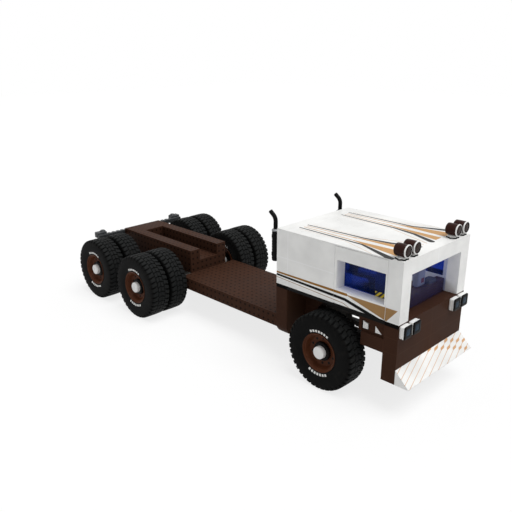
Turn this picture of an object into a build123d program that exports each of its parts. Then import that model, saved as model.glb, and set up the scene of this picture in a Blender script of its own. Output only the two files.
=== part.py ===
from build123d import *
import math
import os

# Three-axle cab-over truck with a flat deck and a low rear frame.
# Millimetres, +Z up, the nose points to -Y, ground at Z = 0.

os.makedirs("parts", exist_ok=True)

# Body grid and clearances
module = 250.0            # grid step that the panel lines fall on
fit_gap = 6.0             # between pieces that move past each other
bearing_gap = 0.1         # radial, a shaft in its bore
seat_gap = 0.5            # between fixed pieces with curved faces

# Body
cab_length = 10 * module
cab_half = 4 * module
lower_height = 4 * module
cab_height = 4 * module
deck_length = 12 * module
deck_half = 3 * module
rear_frame_length = 10 * module
rear_half = 2 * module
wall = 1 * module         # depth of the window reveals
axle_rise = 0.5 * module  # axle line above the body's underside
wedge_depth = 1 * module

# Tyres and wheels
lug_count = 40
lug_depth = 32.0
groove_width = 42.0
tyre_flat_radius = 673.5  # to the flat lug tips
tyre_width = 438.0
bead_flat_radius = 344.0
wheel_sides = 16
rim_wall = 22.0
rim_setback = 12.0
disc_thickness = 25.0
web_depth = 110.0         # inner web of a twin rim behind the inner tyre's face
hub_flat_radius = 110.0
hub_setback = 5.0
spindle_radius = 70.0
spindle_reach = 60.0

# Axle places
tyre_clearance = 35.0     # deck side to the tyres' inner faces
twin_gap = 40.0
front_setback = 1157.5    # front axle ahead of the cab's rear face
rear_overhang = 512.0     # rear frame's end behind the rear axle
bogie_gap = 210.0         # between the tyres of the two rear axles
kingpin_inset = 60.0      # king pins inboard of the front tyres' middle planes
steer_angle = 25.0
arch_clearance = 27.0     # steered tyre to what stands round it
step_low = 1.85 * module  # side steps above the body's underside

tip_radius = math.hypot(tyre_flat_radius, math.pi * tyre_flat_radius / lug_count - groove_width / 2)
steer_cos = math.cos(math.radians(steer_angle))
steer_sin = math.sin(math.radians(steer_angle))
step_chord = math.sqrt(tip_radius ** 2 - (step_low - axle_rise) ** 2)
step_reach = step_chord * steer_cos + (tyre_width / 2 + kingpin_inset) * steer_sin + arch_clearance

# Light bar at the truck's end
light_bar_depth = 100.0
cluster_overhang = 112.5

# Stations along the truck, with the origin midway between its ends
front_reach = cab_length + wedge_depth
rear_reach = deck_length + rear_frame_length + light_bar_depth + cluster_overhang
cab_rear_y = (front_reach - rear_reach) / 2
cab_front_y = cab_rear_y - cab_length
nose_rear_y = cab_front_y + module
rear_block_y = cab_rear_y - module
front_axle_y = cab_rear_y - front_setback
step_rear_y = front_axle_y - step_reach
rear_frame_y0 = cab_rear_y + deck_length
rear_frame_y1 = rear_frame_y0 + rear_frame_length
rear_axle_y = rear_frame_y1 - rear_overhang
mid_axle_y = rear_axle_y - 2 * tyre_flat_radius - bogie_gap

# Stations across the truck
wheel_inner_x = deck_half + tyre_clearance
front_outer_x = wheel_inner_x + tyre_width
kingpin_x = wheel_inner_x + tyre_width / 2 - kingpin_inset
twin_inner_x1 = wheel_inner_x + tyre_width
twin_outer_x0 = twin_inner_x1 + twin_gap
twin_outer_x1 = twin_outer_x0 + tyre_width
cab_inner = cab_half - wall

# Levels
axle_z = tyre_flat_radius
base_z = axle_z - axle_rise
deck_top_z = base_z + module
lower_top_z = base_z + lower_height
roof_z = lower_top_z + cab_height
window_low_z = lower_top_z + module
window_high_z = lower_top_z + 3 * module


def bar(x0, x1, y0, y1, z0, z1, mode=Mode.ADD):
    with Locations(((x0 + x1) / 2, (y0 + y1) / 2, (z0 + z1) / 2)):
        Box(abs(x1 - x0), y1 - y0, z1 - z0, mode=mode)


def pair(x0, x1, y0, y1, z0, z1, mode=Mode.ADD):
    for side in (1, -1):
        bar(side * x0, side * x1, y0, y1, z0, z1, mode)


def upright(radius, x, y, z0, z1, mode=Mode.ADD):
    with Locations((x, y, z0)):
        Cylinder(radius, z1 - z0, align=(Align.CENTER, Align.CENTER, Align.MIN), mode=mode)


def shaft_x(radius, x0, x1, y, mode=Mode.ADD):
    with Locations(Location(((x0 + x1) / 2, y, axle_z), (0, 90, 0))):
        Cylinder(radius, abs(x1 - x0), mode=mode)


def faceted_x(flat_radius, x0, x1, y, mode=Mode.ADD):
    corner_radius = flat_radius / math.cos(math.pi / wheel_sides)
    with BuildSketch(Plane.YZ.offset(min(x0, x1))) as outline:
        with Locations((y, axle_z)):
            RegularPolygon(corner_radius, wheel_sides, rotation=180 / wheel_sides)
    extrude(outline.sketch, amount=abs(x1 - x0), mode=mode)


def faceted_y(flat_radius, x, y0, y1, z, mode=Mode.ADD):
    corner_radius = flat_radius / math.cos(math.pi / wheel_sides)
    with BuildSketch(Plane.XZ.offset(-y1)) as outline:
        with Locations((x, z)):
            RegularPolygon(corner_radius, wheel_sides, rotation=180 / wheel_sides)
    extrude(outline.sketch, amount=y1 - y0, mode=mode)


def faceted_z(flat_radius, x, y, z0, z1):
    corner_radius = flat_radius / math.cos(math.pi / wheel_sides)
    with BuildSketch(Plane.XY.offset(z0)) as outline:
        with Locations((x, y)):
            RegularPolygon(corner_radius, wheel_sides, rotation=180 / wheel_sides)
    extrude(outline.sketch, amount=z1 - z0)


def tyre(x0, x1, y):
    corner_radius = tyre_flat_radius / math.cos(math.pi / lug_count)
    half_pitch = 180 / lug_count
    with BuildSketch(Plane.YZ.offset(min(x0, x1))) as outline:
        with Locations((y, axle_z)):
            RegularPolygon(corner_radius, lug_count, rotation=half_pitch)
            with PolarLocations(tyre_flat_radius, lug_count, start_angle=half_pitch):
                Polygon((-lug_depth, 0), (lug_depth, -groove_width), (lug_depth, groove_width),
                        align=None, mode=Mode.SUBTRACT)
    extrude(outline.sketch, amount=abs(x1 - x0))
    faceted_x(bead_flat_radius, x0, x1, y, Mode.SUBTRACT)


def rim(side, inner_x, outer_x, disc_back_x, y):
    barrel_in = side * (inner_x + rim_setback)
    barrel_out = side * (outer_x - rim_setback)
    disc_back = side * disc_back_x
    disc_face = side * (disc_back_x + disc_thickness)
    faceted_x(bead_flat_radius - seat_gap, barrel_in, barrel_out, y)
    faceted_x(bead_flat_radius - rim_wall, barrel_in, disc_back, y, Mode.SUBTRACT)
    faceted_x(bead_flat_radius - rim_wall, disc_face, barrel_out, y, Mode.SUBTRACT)
    faceted_x(hub_flat_radius, disc_back, side * (outer_x - hub_setback), y)
    bore_end = side * (disc_back_x + spindle_reach + fit_gap)
    shaft_x(spindle_radius + bearing_gap, disc_back, bore_end, y, Mode.SUBTRACT)


def twin_web(side, inner_x, y):
    web_in = side * (inner_x + web_depth)
    web_out = side * (inner_x + web_depth + disc_thickness)
    faceted_x(bead_flat_radius - rim_wall / 2, web_in, web_out, y)
    faceted_x(tube_flat_radius + 2 * fit_gap, web_in, web_out, y, Mode.SUBTRACT)


# Ladder frame: two rails with crossmembers, lapped under the front of the rear frame
rail_inner_x = 100.0
rail_outer_x = 200.0
rail_rise = 125.0
rail_height = 95.0
nose_setback = 60.0
cross_width = 120.0
cross_drop = 15.0
cross_modules = (-9.2, 0.8, 6.0, 11.0)
rail_lap = 100.0
rail_bottom_z = base_z + rail_rise
rail_top_z = rail_bottom_z + rail_height
rail_end_y = rear_frame_y0 + rail_lap
with BuildPart() as ladder_frame:
    pair(rail_inner_x, rail_outer_x, cab_front_y + nose_setback, rail_end_y, rail_bottom_z, rail_top_z)
    pair(rail_inner_x, rail_outer_x, rear_frame_y0, rail_end_y, rail_top_z, deck_top_z)
    for y in [cab_rear_y + step * module for step in cross_modules]:
        bar(-rail_inner_x, rail_inner_x, y - cross_width / 2, y + cross_width / 2,
            rail_bottom_z + cross_drop, rail_top_z)
ladder_frame.part.label = "ladder_frame"
export_step(ladder_frame.part, "parts/ladder_frame.step")

# Deck: a plate on the rails with two deep side skirts
deck_skirt = 40.0
with BuildPart() as deck:
    bar(-deck_half, deck_half, cab_rear_y, rear_frame_y0, base_z, deck_top_z)
    bar(deck_skirt - deck_half, deck_half - deck_skirt, cab_rear_y, rear_frame_y0, base_z, rail_top_z,
        Mode.SUBTRACT)
deck.part.label = "deck"
export_step(deck.part, "parts/deck.step")

# Rear frame: a closed base, then two rails and a crossbeam around an open channel
channel_half = 1 * module
crossbeam_depth = 2 * module
rear_base_z1 = deck_top_z + module
rear_rail_z1 = rear_base_z1 + module
crossbeam_y = rear_frame_y1 - crossbeam_depth
with BuildPart() as rear_base:
    bar(-rear_half, rear_half, rear_frame_y0, rear_frame_y1, deck_top_z, rear_base_z1)
rear_base.part.label = "rear_base"
export_step(rear_base.part, "parts/rear_base.step")

with BuildPart() as rear_rails:
    pair(channel_half, rear_half, rear_frame_y0, crossbeam_y, rear_base_z1, rear_rail_z1)
    bar(-rear_half, rear_half, crossbeam_y, rear_frame_y1, rear_base_z1, rear_rail_z1)
rear_rails.part.label = "rear_rails"
export_step(rear_rails.part, "parts/rear_rails.step")

# Light bar behind the rear tyres, with a lamp cluster at each end
light_bar_half = 4.85 * module
light_bar_height = 120.0
light_bar_gap = 30.0
light_bar_z0 = axle_z + math.sqrt(tip_radius ** 2 - rear_overhang ** 2) + light_bar_gap
cluster_width = 250.0
cluster_rise = 30.0
cluster_height = 170.0
cluster_chamfer = 45.0
cluster_y0 = rear_frame_y1 + light_bar_depth / 2
cluster_y1 = rear_frame_y1 + light_bar_depth + cluster_overhang
with BuildPart() as light_bar:
    bar(-light_bar_half, light_bar_half, rear_frame_y1, rear_frame_y1 + light_bar_depth,
        light_bar_z0, light_bar_z0 + light_bar_height)
    pair(light_bar_half - cluster_width, light_bar_half, cluster_y0, cluster_y1,
         light_bar_z0 + cluster_rise, light_bar_z0 + cluster_rise + cluster_height)
    chamfer(light_bar.edges().filter_by(Axis.X).group_by(Axis.Z)[-1].group_by(Axis.Y)[0], cluster_chamfer)
light_bar.part.label = "light_bar"
export_step(light_bar.part, "parts/light_bar.step")

# Leaf packs: leaves of falling length under the rails in front and under the rear frame
leaf_width = 70.0
leaf_thickness = 14.0
leaf_halves = (300.0, 225.0, 150.0)
spring_seat_half = 60.0
leaf_x0 = rail_outer_x - leaf_width
leaf_stack = len(leaf_halves) * leaf_thickness
front_leaf_z = rail_bottom_z - leaf_stack
rear_leaf_z = deck_top_z - leaf_stack
with BuildPart() as leaf_springs:
    for y, low in ((front_axle_y, front_leaf_z), (mid_axle_y, rear_leaf_z), (rear_axle_y, rear_leaf_z)):
        for order, half in enumerate(leaf_halves):
            top = low + leaf_stack - order * leaf_thickness
            pair(leaf_x0, rail_outer_x, y - half, y + half, top - leaf_thickness, top)
leaf_springs.part.label = "leaf_springs"
export_step(leaf_springs.part, "parts/leaf_springs.step")

# Front axle: dropped beam, eyes and king pins inside the wheels
kingpin_radius = 28.0
eye_radius = 55.0
eye_half = 60.0
yoke_arm = 40.0
beam_half = 50.0
beam_drop = 130.0
riser_out = 110.0
riser_width = 90.0
riser_x1 = kingpin_x - riser_out
riser_x0 = riser_x1 - riser_width
beam_top_z = axle_z - beam_drop + beam_half
pin_half = eye_half + fit_gap + yoke_arm
with BuildPart() as front_axle:
    y0 = front_axle_y - beam_half
    y1 = front_axle_y + beam_half
    bar(-riser_x1, riser_x1, y0, y1, beam_top_z - 2 * beam_half, beam_top_z)
    pair(riser_x0, riser_x1, y0, y1, beam_top_z - 2 * beam_half, axle_z + beam_half)
    pair(riser_x0, kingpin_x, y0, y1, axle_z - beam_half, axle_z + beam_half)
    for side in (1, -1):
        faceted_z(eye_radius, side * kingpin_x, front_axle_y, axle_z - eye_half, axle_z + eye_half)
        upright(kingpin_radius, side * kingpin_x, front_axle_y, axle_z - pin_half, axle_z + pin_half)
    pair(leaf_x0, rail_outer_x, front_axle_y - spring_seat_half, front_axle_y + spring_seat_half,
         beam_top_z, front_leaf_z)
front_axle.part.label = "front_axle"
export_step(front_axle.part, "parts/front_axle.step")

# Steering knuckles: a yoke over each eye, with the wheel spindle
yoke_reach = 50.0
yoke_half_y = 75.0
yoke_plate = 30.0
plate_x0 = kingpin_x + eye_radius + 2 * fit_gap
plate_x1 = plate_x0 + yoke_plate
front_disc_back_x = plate_x1 + 3 * fit_gap


def knuckle(side):
    low = eye_half + fit_gap
    y0 = front_axle_y - yoke_half_y
    y1 = front_axle_y + yoke_half_y
    bar(side * (kingpin_x - yoke_reach), side * plate_x1, y0, y1, axle_z + low, axle_z + pin_half)
    bar(side * (kingpin_x - yoke_reach), side * plate_x1, y0, y1, axle_z - pin_half, axle_z - low)
    bar(side * plate_x0, side * plate_x1, y0, y1, axle_z - pin_half, axle_z + pin_half)
    upright(kingpin_radius + bearing_gap, side * kingpin_x, front_axle_y,
            axle_z - pin_half, axle_z + pin_half, Mode.SUBTRACT)
    shaft_x(spindle_radius, side * plate_x1, side * (front_disc_back_x + spindle_reach), front_axle_y)


with BuildPart() as knuckle_left:
    knuckle(1)
knuckle_left.part.label = "knuckle_left"
export_step(knuckle_left.part, "parts/knuckle_left.step")

with BuildPart() as knuckle_right:
    knuckle(-1)
knuckle_right.part.label = "knuckle_right"
export_step(knuckle_right.part, "parts/knuckle_right.step")

# Rear axles: one tube through both hubs, a differential and its shaft housing in the middle
diff_flat_radius = 115.0
pinion_half = 55.0
pinion_length = 220.0
shaft_drop = 60.0
shaft_z = axle_z - shaft_drop
tube_flat_radius = spindle_radius + fit_gap
rear_disc_depth = 162.0
rear_disc_back_x = twin_outer_x1 - rear_disc_depth
diff_half = rail_inner_x - fit_gap
with BuildPart() as rear_axles:
    for y in (mid_axle_y, rear_axle_y):
        tube_end = rear_disc_back_x - fit_gap
        faceted_x(tube_flat_radius, -tube_end, tube_end, y)
        for side in (1, -1):
            shaft_x(spindle_radius, side * tube_end, side * (rear_disc_back_x + spindle_reach), y)
        faceted_x(diff_flat_radius, -diff_half, diff_half, y)
        bar(-pinion_half, pinion_half, y - pinion_length, y + pinion_length,
            shaft_z - pinion_half, shaft_z + pinion_half)
        pair(leaf_x0, rail_outer_x, y - spring_seat_half, y + spring_seat_half, axle_z, rear_leaf_z)
rear_axles.part.label = "rear_axles"
export_step(rear_axles.part, "parts/rear_axles.step")

# Engine on legs over the rails, gearbox between them
engine_half = 225.0
engine_length = 5 * module
gearbox_length = 1.9 * module
gearbox_rise = 110.0
gearbox_drop = 130.0
leg_modules = (8.2, 5.7)
leg_half = 50.0
floor_thickness = 60.0
engine_headroom = 40.0
floor_low_z = lower_top_z - floor_thickness
engine_y0 = nose_rear_y + 0.5 * module
engine_y1 = engine_y0 + engine_length
gearbox_y1 = engine_y1 + gearbox_length
engine_low_z = base_z + 1.95 * module
with BuildPart() as engine:
    bar(-engine_half, engine_half, engine_y0, engine_y1, engine_low_z, floor_low_z - engine_headroom)
    for y in [cab_rear_y - step * module for step in leg_modules]:
        pair(rail_inner_x, rail_outer_x, y - leg_half, y + leg_half, rail_top_z, engine_low_z)
    bar(-diff_half, diff_half, engine_y1, gearbox_y1, axle_z - gearbox_drop, engine_low_z + gearbox_rise)
engine.part.label = "engine"
export_step(engine.part, "parts/engine.step")

# Drive shafts: gearbox to the middle axle, then on to the rear axle
shaft_radius = 40.0
with BuildPart() as drive_shafts:
    faceted_y(shaft_radius, 0, gearbox_y1, mid_axle_y - pinion_length, shaft_z)
    faceted_y(shaft_radius, 0, mid_axle_y + pinion_length, rear_axle_y - pinion_length, shaft_z)
drive_shafts.part.label = "drive_shafts"
export_step(drive_shafts.part, "parts/drive_shafts.step")

# Nose panel: an open box behind the front face
panel = 50.0
with BuildPart() as nose_panel:
    bar(-cab_half, cab_half, cab_front_y, nose_rear_y, base_z, lower_top_z)
    bar(panel - cab_half, cab_half - panel, cab_front_y + panel, nose_rear_y, base_z + panel,
        lower_top_z - panel, Mode.SUBTRACT)
nose_panel.part.label = "nose_panel"
export_step(nose_panel.part, "parts/nose_panel.step")

# Wedge bumper across the foot of the nose
with BuildPart() as wedge_bumper:
    with BuildSketch(Plane.YZ.offset(-cab_half)):
        with BuildLine():
            Polyline((cab_front_y, base_z), (cab_front_y, base_z + module),
                     (cab_front_y - wedge_depth, base_z), close=True)
        make_face()
    extrude(amount=2 * cab_half)
wedge_bumper.part.label = "wedge_bumper"
export_step(wedge_bumper.part, "parts/wedge_bumper.step")

# Sill bands along the cab floor's edges, with the doors' lower pivots
band_width = 60.0
door_front_y = nose_rear_y
door_rear_y = cab_rear_y - 5 * module
pivot_inset = 15.0
pivot_radius = 9.0
pivot_height = 40.0
pivot_x = cab_half - pivot_inset
pivot_y = door_front_y + fit_gap + pivot_inset
with BuildPart() as side_bands:
    pair(cab_half - band_width, cab_half, nose_rear_y, rear_block_y, floor_low_z, lower_top_z)
    for side in (1, -1):
        upright(pivot_radius, side * pivot_x, pivot_y, lower_top_z, lower_top_z + pivot_height)
side_bands.part.label = "side_bands"
export_step(side_bands.part, "parts/side_bands.step")

# Side steps: a beam with a ledge, and a pierced plate up to the sill
step_z0 = base_z + step_low
step_z1 = base_z + 2.75 * module
step_depth = 1 * module
plate_lap = 75.0          # plate beyond the beam's rear end
plate_inset = 40.0
plate_thickness = 40.0
pierce_z0 = step_z1 + 0.15 * module
pierce_z1 = floor_low_z - 0.25 * module
pierce_drop = 0.12 * module
pierce_wide = 0.55 * module
pierce_bridge = 0.45 * module
pierce_margin = 0.22 * module


def step_plate(side):
    plate_face = side * (cab_half - plate_inset)
    plate_back = side * (cab_half - plate_inset - plate_thickness)
    bar(plate_back, plate_face, nose_rear_y, step_rear_y + plate_lap, step_z1, floor_low_z)
    rear = step_rear_y + plate_lap - pierce_margin
    bridge = rear - pierce_wide
    front = bridge - pierce_bridge
    tip = nose_rear_y + pierce_margin
    with BuildSketch(Plane.YZ.offset(min(plate_back, plate_face))) as holes:
        with BuildLine():
            Polyline((rear, pierce_z0), (rear, pierce_z1), (bridge, pierce_z1 - pierce_drop),
                     (bridge, pierce_z0), close=True)
        make_face()
        with BuildLine():
            Polyline((front, pierce_z0), (front, pierce_z1 - pierce_drop), (tip, pierce_z0), close=True)
        make_face()
    extrude(holes.sketch, amount=plate_thickness, mode=Mode.SUBTRACT)


with BuildPart() as side_steps:
    pair(cab_half - step_depth, cab_half, nose_rear_y, step_rear_y, step_z0, step_z1)
    step_plate(1)
    step_plate(-1)
side_steps.part.label = "side_steps"
export_step(side_steps.part, "parts/side_steps.step")

# Rear block under the cab's back edge, with rounded lower corners and a tunnel for the rails
block_radius = 0.99 * module
tunnel_side = 50.0
tunnel_half = rail_outer_x + tunnel_side
with BuildPart() as rear_block:
    bar(-cab_half, cab_half, rear_block_y, cab_rear_y, base_z, lower_top_z)
    fillet(rear_block.edges().filter_by(Axis.Y).group_by(Axis.Z)[0], block_radius)
    bar(-tunnel_half, tunnel_half, rear_block_y, cab_rear_y, base_z, deck_top_z, Mode.SUBTRACT)
rear_block.part.label = "rear_block"
export_step(rear_block.part, "parts/rear_block.step")

# Cab floor with inner wheel-house walls below it, cut round the tyres
house_wall = 16.0
house_gap = 62.0
house_reach = tip_radius * steer_sin + (tyre_width / 2 - kingpin_inset) * steer_cos
house_x1 = kingpin_x - house_reach - arch_clearance
with BuildPart() as cab_floor:
    bar(band_width - cab_half, cab_half - band_width, nose_rear_y, rear_block_y, floor_low_z, lower_top_z)
    pair(house_x1 - house_wall, house_x1, nose_rear_y, rear_block_y, deck_top_z, floor_low_z)
    faceted_x(tip_radius + house_gap, -house_x1, house_x1, front_axle_y, Mode.SUBTRACT)
cab_floor.part.label = "cab_floor"
export_step(cab_floor.part, "parts/cab_floor.step")

# Front frame: header and two pillars round the windshield
roof_skin = 20.0
wall_top_z = roof_z - roof_skin
with BuildPart() as front_frame:
    bar(-cab_half, cab_half, cab_front_y, nose_rear_y, lower_top_z, wall_top_z)
    bar(-cab_inner, cab_inner, cab_front_y, nose_rear_y, lower_top_z, window_high_z, Mode.SUBTRACT)
front_frame.part.label = "front_frame"
export_step(front_frame.part, "parts/front_frame.step")

# Corner panels behind the doors, with tapered jambs
jamb_taper = 50.0


def corner_panel(side):
    with BuildSketch(Plane.XY.offset(lower_top_z)) as outline:
        with BuildLine():
            Polyline((side * cab_half, door_rear_y), (side * cab_half, cab_rear_y),
                     (side * cab_inner, cab_rear_y), (side * cab_inner, door_rear_y - jamb_taper), close=True)
        make_face()
    extrude(outline.sketch, amount=wall_top_z - lower_top_z)


with BuildPart() as corner_panels:
    corner_panel(1)
    corner_panel(-1)
corner_panels.part.label = "corner_panels"
export_step(corner_panels.part, "parts/corner_panels.step")

# Rear wall of the cab
rear_wall_thickness = 0.5 * module
rear_wall_y = cab_rear_y - rear_wall_thickness
with BuildPart() as rear_wall:
    bar(-cab_inner, cab_inner, rear_wall_y, cab_rear_y, lower_top_z, wall_top_z)
rear_wall.part.label = "rear_wall"
export_step(rear_wall.part, "parts/rear_wall.step")

# Roof: outer skin, inner lining and the doors' upper pivots
roof_lining = 110.0
with BuildPart() as roof:
    bar(-cab_half, cab_half, cab_front_y, cab_rear_y, wall_top_z, roof_z)
    bar(fit_gap - cab_inner, cab_inner - fit_gap, nose_rear_y, rear_wall_y,
        wall_top_z - roof_lining, wall_top_z)
    for side in (1, -1):
        upright(pivot_radius, side * pivot_x, pivot_y, wall_top_z - pivot_height, wall_top_z)
roof.part.label = "roof"
export_step(roof.part, "parts/roof.step")

# Windshield, set back in its frame
pane = 12.0
pane_inset = 20.0
glass_y1 = nose_rear_y - pane_inset
with BuildPart() as windshield:
    bar(-cab_inner, cab_inner, glass_y1 - pane, glass_y1, lower_top_z, window_high_z)
windshield.part.label = "windshield"
export_step(windshield.part, "parts/windshield.step")

# Doors: a wedge-edged frame on pivots, and a pane near its inner face
door_post = 30.0
door_low_z = lower_top_z + fit_gap
door_high_z = wall_top_z - fit_gap
door_y0 = door_front_y + fit_gap
door_y1 = door_rear_y - fit_gap
door_inner_x = cab_inner + fit_gap
door_window_y0 = door_y0 + door_post
door_window_y1 = door_y1 - jamb_taper


def door(side):
    outer = side * cab_half
    inner = side * door_inner_x
    with BuildSketch(Plane.XY.offset(door_low_z)) as outline:
        with BuildLine():
            Polyline((outer, door_y0), (outer, door_y1), (inner, door_y1 - jamb_taper), (inner, door_y0),
                     close=True)
        make_face()
        fillet(outline.vertices().group_by(Axis.Y)[0].sort_by(Axis.X)[-1 if side > 0 else 0], pivot_inset)
    extrude(outline.sketch, amount=door_high_z - door_low_z)
    bar(inner, outer, door_window_y0, door_window_y1, window_low_z, window_high_z, Mode.SUBTRACT)
    low_hole = lower_top_z + pivot_height + fit_gap
    high_hole = wall_top_z - pivot_height - fit_gap
    upright(pivot_radius + bearing_gap, side * pivot_x, pivot_y, door_low_z, low_hole, Mode.SUBTRACT)
    upright(pivot_radius + bearing_gap, side * pivot_x, pivot_y, high_hole, door_high_z, Mode.SUBTRACT)


def door_pane(side):
    x0 = door_inner_x + pane_inset
    bar(side * x0, side * (x0 + pane), door_window_y0, door_window_y1, window_low_z, window_high_z)


with BuildPart() as door_left:
    door(1)
door_left.part.label = "door_left"
export_step(door_left.part, "parts/door_left.step")

with BuildPart() as door_right:
    door(-1)
door_right.part.label = "door_right"
export_step(door_right.part, "parts/door_right.step")

with BuildPart() as door_glass_left:
    door_pane(1)
door_glass_left.part.label = "door_glass_left"
export_step(door_glass_left.part, "parts/door_glass_left.step")

with BuildPart() as door_glass_right:
    door_pane(-1)
door_glass_right.part.label = "door_glass_right"
export_step(door_glass_right.part, "parts/door_glass_right.step")

# Seats: cushion and rounded back
seat_x = 360.0
seat_half = 230.0
seat_y0 = cab_rear_y - 5.6 * module
seat_y1 = cab_rear_y - 3.4 * module
cushion_top_z = lower_top_z + 0.9 * module
back_thickness = 120.0
back_top_z = lower_top_z + 2.6 * module
back_round = 90.0
with BuildPart() as seats:
    for x in (seat_x, -seat_x):
        bar(x - seat_half, x + seat_half, seat_y0, seat_y1, lower_top_z, cushion_top_z)
        bar(x - seat_half, x + seat_half, seat_y1 - back_thickness, seat_y1, cushion_top_z, back_top_z)
    fillet(seats.edges().filter_by(Axis.Y).group_by(Axis.Z)[-1], back_round)
seats.part.label = "seats"
export_step(seats.part, "parts/seats.step")

# Dashboard with a socket for the column, and the steering wheel
dash_depth = 200.0
dash_slope = 60.0
dash_top_z = lower_top_z + 0.9 * module
wheel_radius = 190.0
wheel_grip = 26.0
wheel_tilt = -50.0
wheel_behind_dash = 220.0
wheel_rise = 1.35 * module
column_radius = 24.0
column_length = 330.0
spoke_width = 34.0
wheel_place = Location((seat_x, nose_rear_y + dash_depth + wheel_behind_dash, lower_top_z + wheel_rise),
                       (wheel_tilt, 0, 0))
with BuildPart() as dashboard:
    bar(fit_gap - cab_inner, cab_inner - fit_gap, nose_rear_y, nose_rear_y + dash_depth,
        lower_top_z, dash_top_z)
    chamfer(dashboard.edges().filter_by(Axis.X).group_by(Axis.Z)[-1].group_by(Axis.Y)[-1], dash_slope)
    with Locations(wheel_place):
        Cylinder(column_radius + seat_gap, column_length, align=(Align.CENTER, Align.CENTER, Align.MAX),
                 mode=Mode.SUBTRACT)
dashboard.part.label = "dashboard"
export_step(dashboard.part, "parts/dashboard.step")

with BuildPart() as steering_wheel:
    with BuildSketch(Plane(wheel_place)):
        RegularPolygon(wheel_radius, wheel_sides)
        RegularPolygon(wheel_radius - wheel_grip, wheel_sides, mode=Mode.SUBTRACT)
        Rectangle(2 * wheel_radius - wheel_grip, spoke_width)
    extrude(amount=wheel_grip)
    with Locations(wheel_place):
        Cylinder(column_radius, column_length, align=(Align.CENTER, Align.CENTER, Align.MAX))
steering_wheel.part.label = "steering_wheel"
export_step(steering_wheel.part, "parts/steering_wheel.step")

# Lamps: square ones in the nose and round ones on the roof, each with a recess for its lens
lamp_xs = [side * step * module for side in (1, -1) for step in (2.5, 3.5)]
headlamp_half = 105.0
headlamp_depth = 100.0
headlamp_z = base_z + 3.53 * module
headlamp_y = cab_front_y - headlamp_depth
roof_lamp_flat_radius = 100.0
roof_lamp_setback = 12.0
roof_lamp_y0 = cab_front_y + roof_lamp_setback
roof_lamp_y1 = roof_lamp_y0 + 0.85 * module
roof_lamp_z = roof_z + 0.55 * module
foot_half = 60.0
foot_inset = 40.0
foot_overlap = 25.0
lens_half = 80.0
lens_flat_radius = 82.0
lens_recess = 20.0
lens_depth = 12.0
with BuildPart() as lamps:
    for x in lamp_xs:
        bar(x - headlamp_half, x + headlamp_half, headlamp_y, cab_front_y,
            headlamp_z - headlamp_half, headlamp_z + headlamp_half)
        bar(x - lens_half, x + lens_half, headlamp_y, headlamp_y + lens_recess,
            headlamp_z - lens_half, headlamp_z + lens_half, Mode.SUBTRACT)
        faceted_y(roof_lamp_flat_radius, x, roof_lamp_y0, roof_lamp_y1, roof_lamp_z)
        faceted_y(lens_flat_radius, x, roof_lamp_y0, roof_lamp_y0 + lens_recess, roof_lamp_z, Mode.SUBTRACT)
        bar(x - foot_half, x + foot_half, roof_lamp_y0 + foot_inset, roof_lamp_y1 - foot_inset,
            roof_z, roof_lamp_z - roof_lamp_flat_radius + foot_overlap)
lamps.part.label = "lamps"
export_step(lamps.part, "parts/lamps.step")

with BuildPart() as lamp_lenses:
    for x in lamp_xs:
        bar(x - lens_half + seat_gap, x + lens_half - seat_gap, headlamp_y + lens_recess - lens_depth,
            headlamp_y + lens_recess, headlamp_z - lens_half + seat_gap, headlamp_z + lens_half - seat_gap)
        faceted_y(lens_flat_radius - seat_gap, x, roof_lamp_y0 + lens_recess - lens_depth,
                  roof_lamp_y0 + lens_recess, roof_lamp_z)
lamp_lenses.part.label = "lamp_lenses"
export_step(lamp_lenses.part, "parts/lamp_lenses.step")

# Exhaust stacks behind the cab's rear corners, with tips bent to the rear
stack_x = 3.62 * module
stack_y = cab_rear_y + 0.5 * module
muffler_radius = 65.0
muffler_z0 = lower_top_z + 1.45 * module
muffler_z1 = lower_top_z + 3.75 * module
pipe_radius = 38.0
pipe_sides = 12
pipe_bend_radius = 90.0
pipe_bend_z = roof_z + 0.55 * module
pipe_tip_y = stack_y + 0.5 * module
pipe_tip_z = roof_z + 0.95 * module
bracket_width = 50.0
bracket_low = 100.0
bracket_high = 150.0
with BuildPart() as exhaust_stacks:
    for x in (stack_x, -stack_x):
        faceted_z(muffler_radius, x, stack_y, muffler_z0, muffler_z1)
        with BuildLine():
            run = FilletPolyline((x, stack_y, muffler_z1), (x, stack_y, pipe_bend_z),
                                 (x, pipe_tip_y, pipe_tip_z), radius=pipe_bend_radius)
        with BuildSketch(Plane.XY.offset(muffler_z1)):
            with Locations((x, stack_y)):
                RegularPolygon(pipe_radius, pipe_sides)
        sweep(path=run)
        for z in (muffler_z0 + bracket_low, muffler_z1 - bracket_high):
            bar(x - bracket_width / 2, x + bracket_width / 2, cab_rear_y, stack_y, z, z + bracket_width)
exhaust_stacks.part.label = "exhaust_stacks"
export_step(exhaust_stacks.part, "parts/exhaust_stacks.step")

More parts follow.
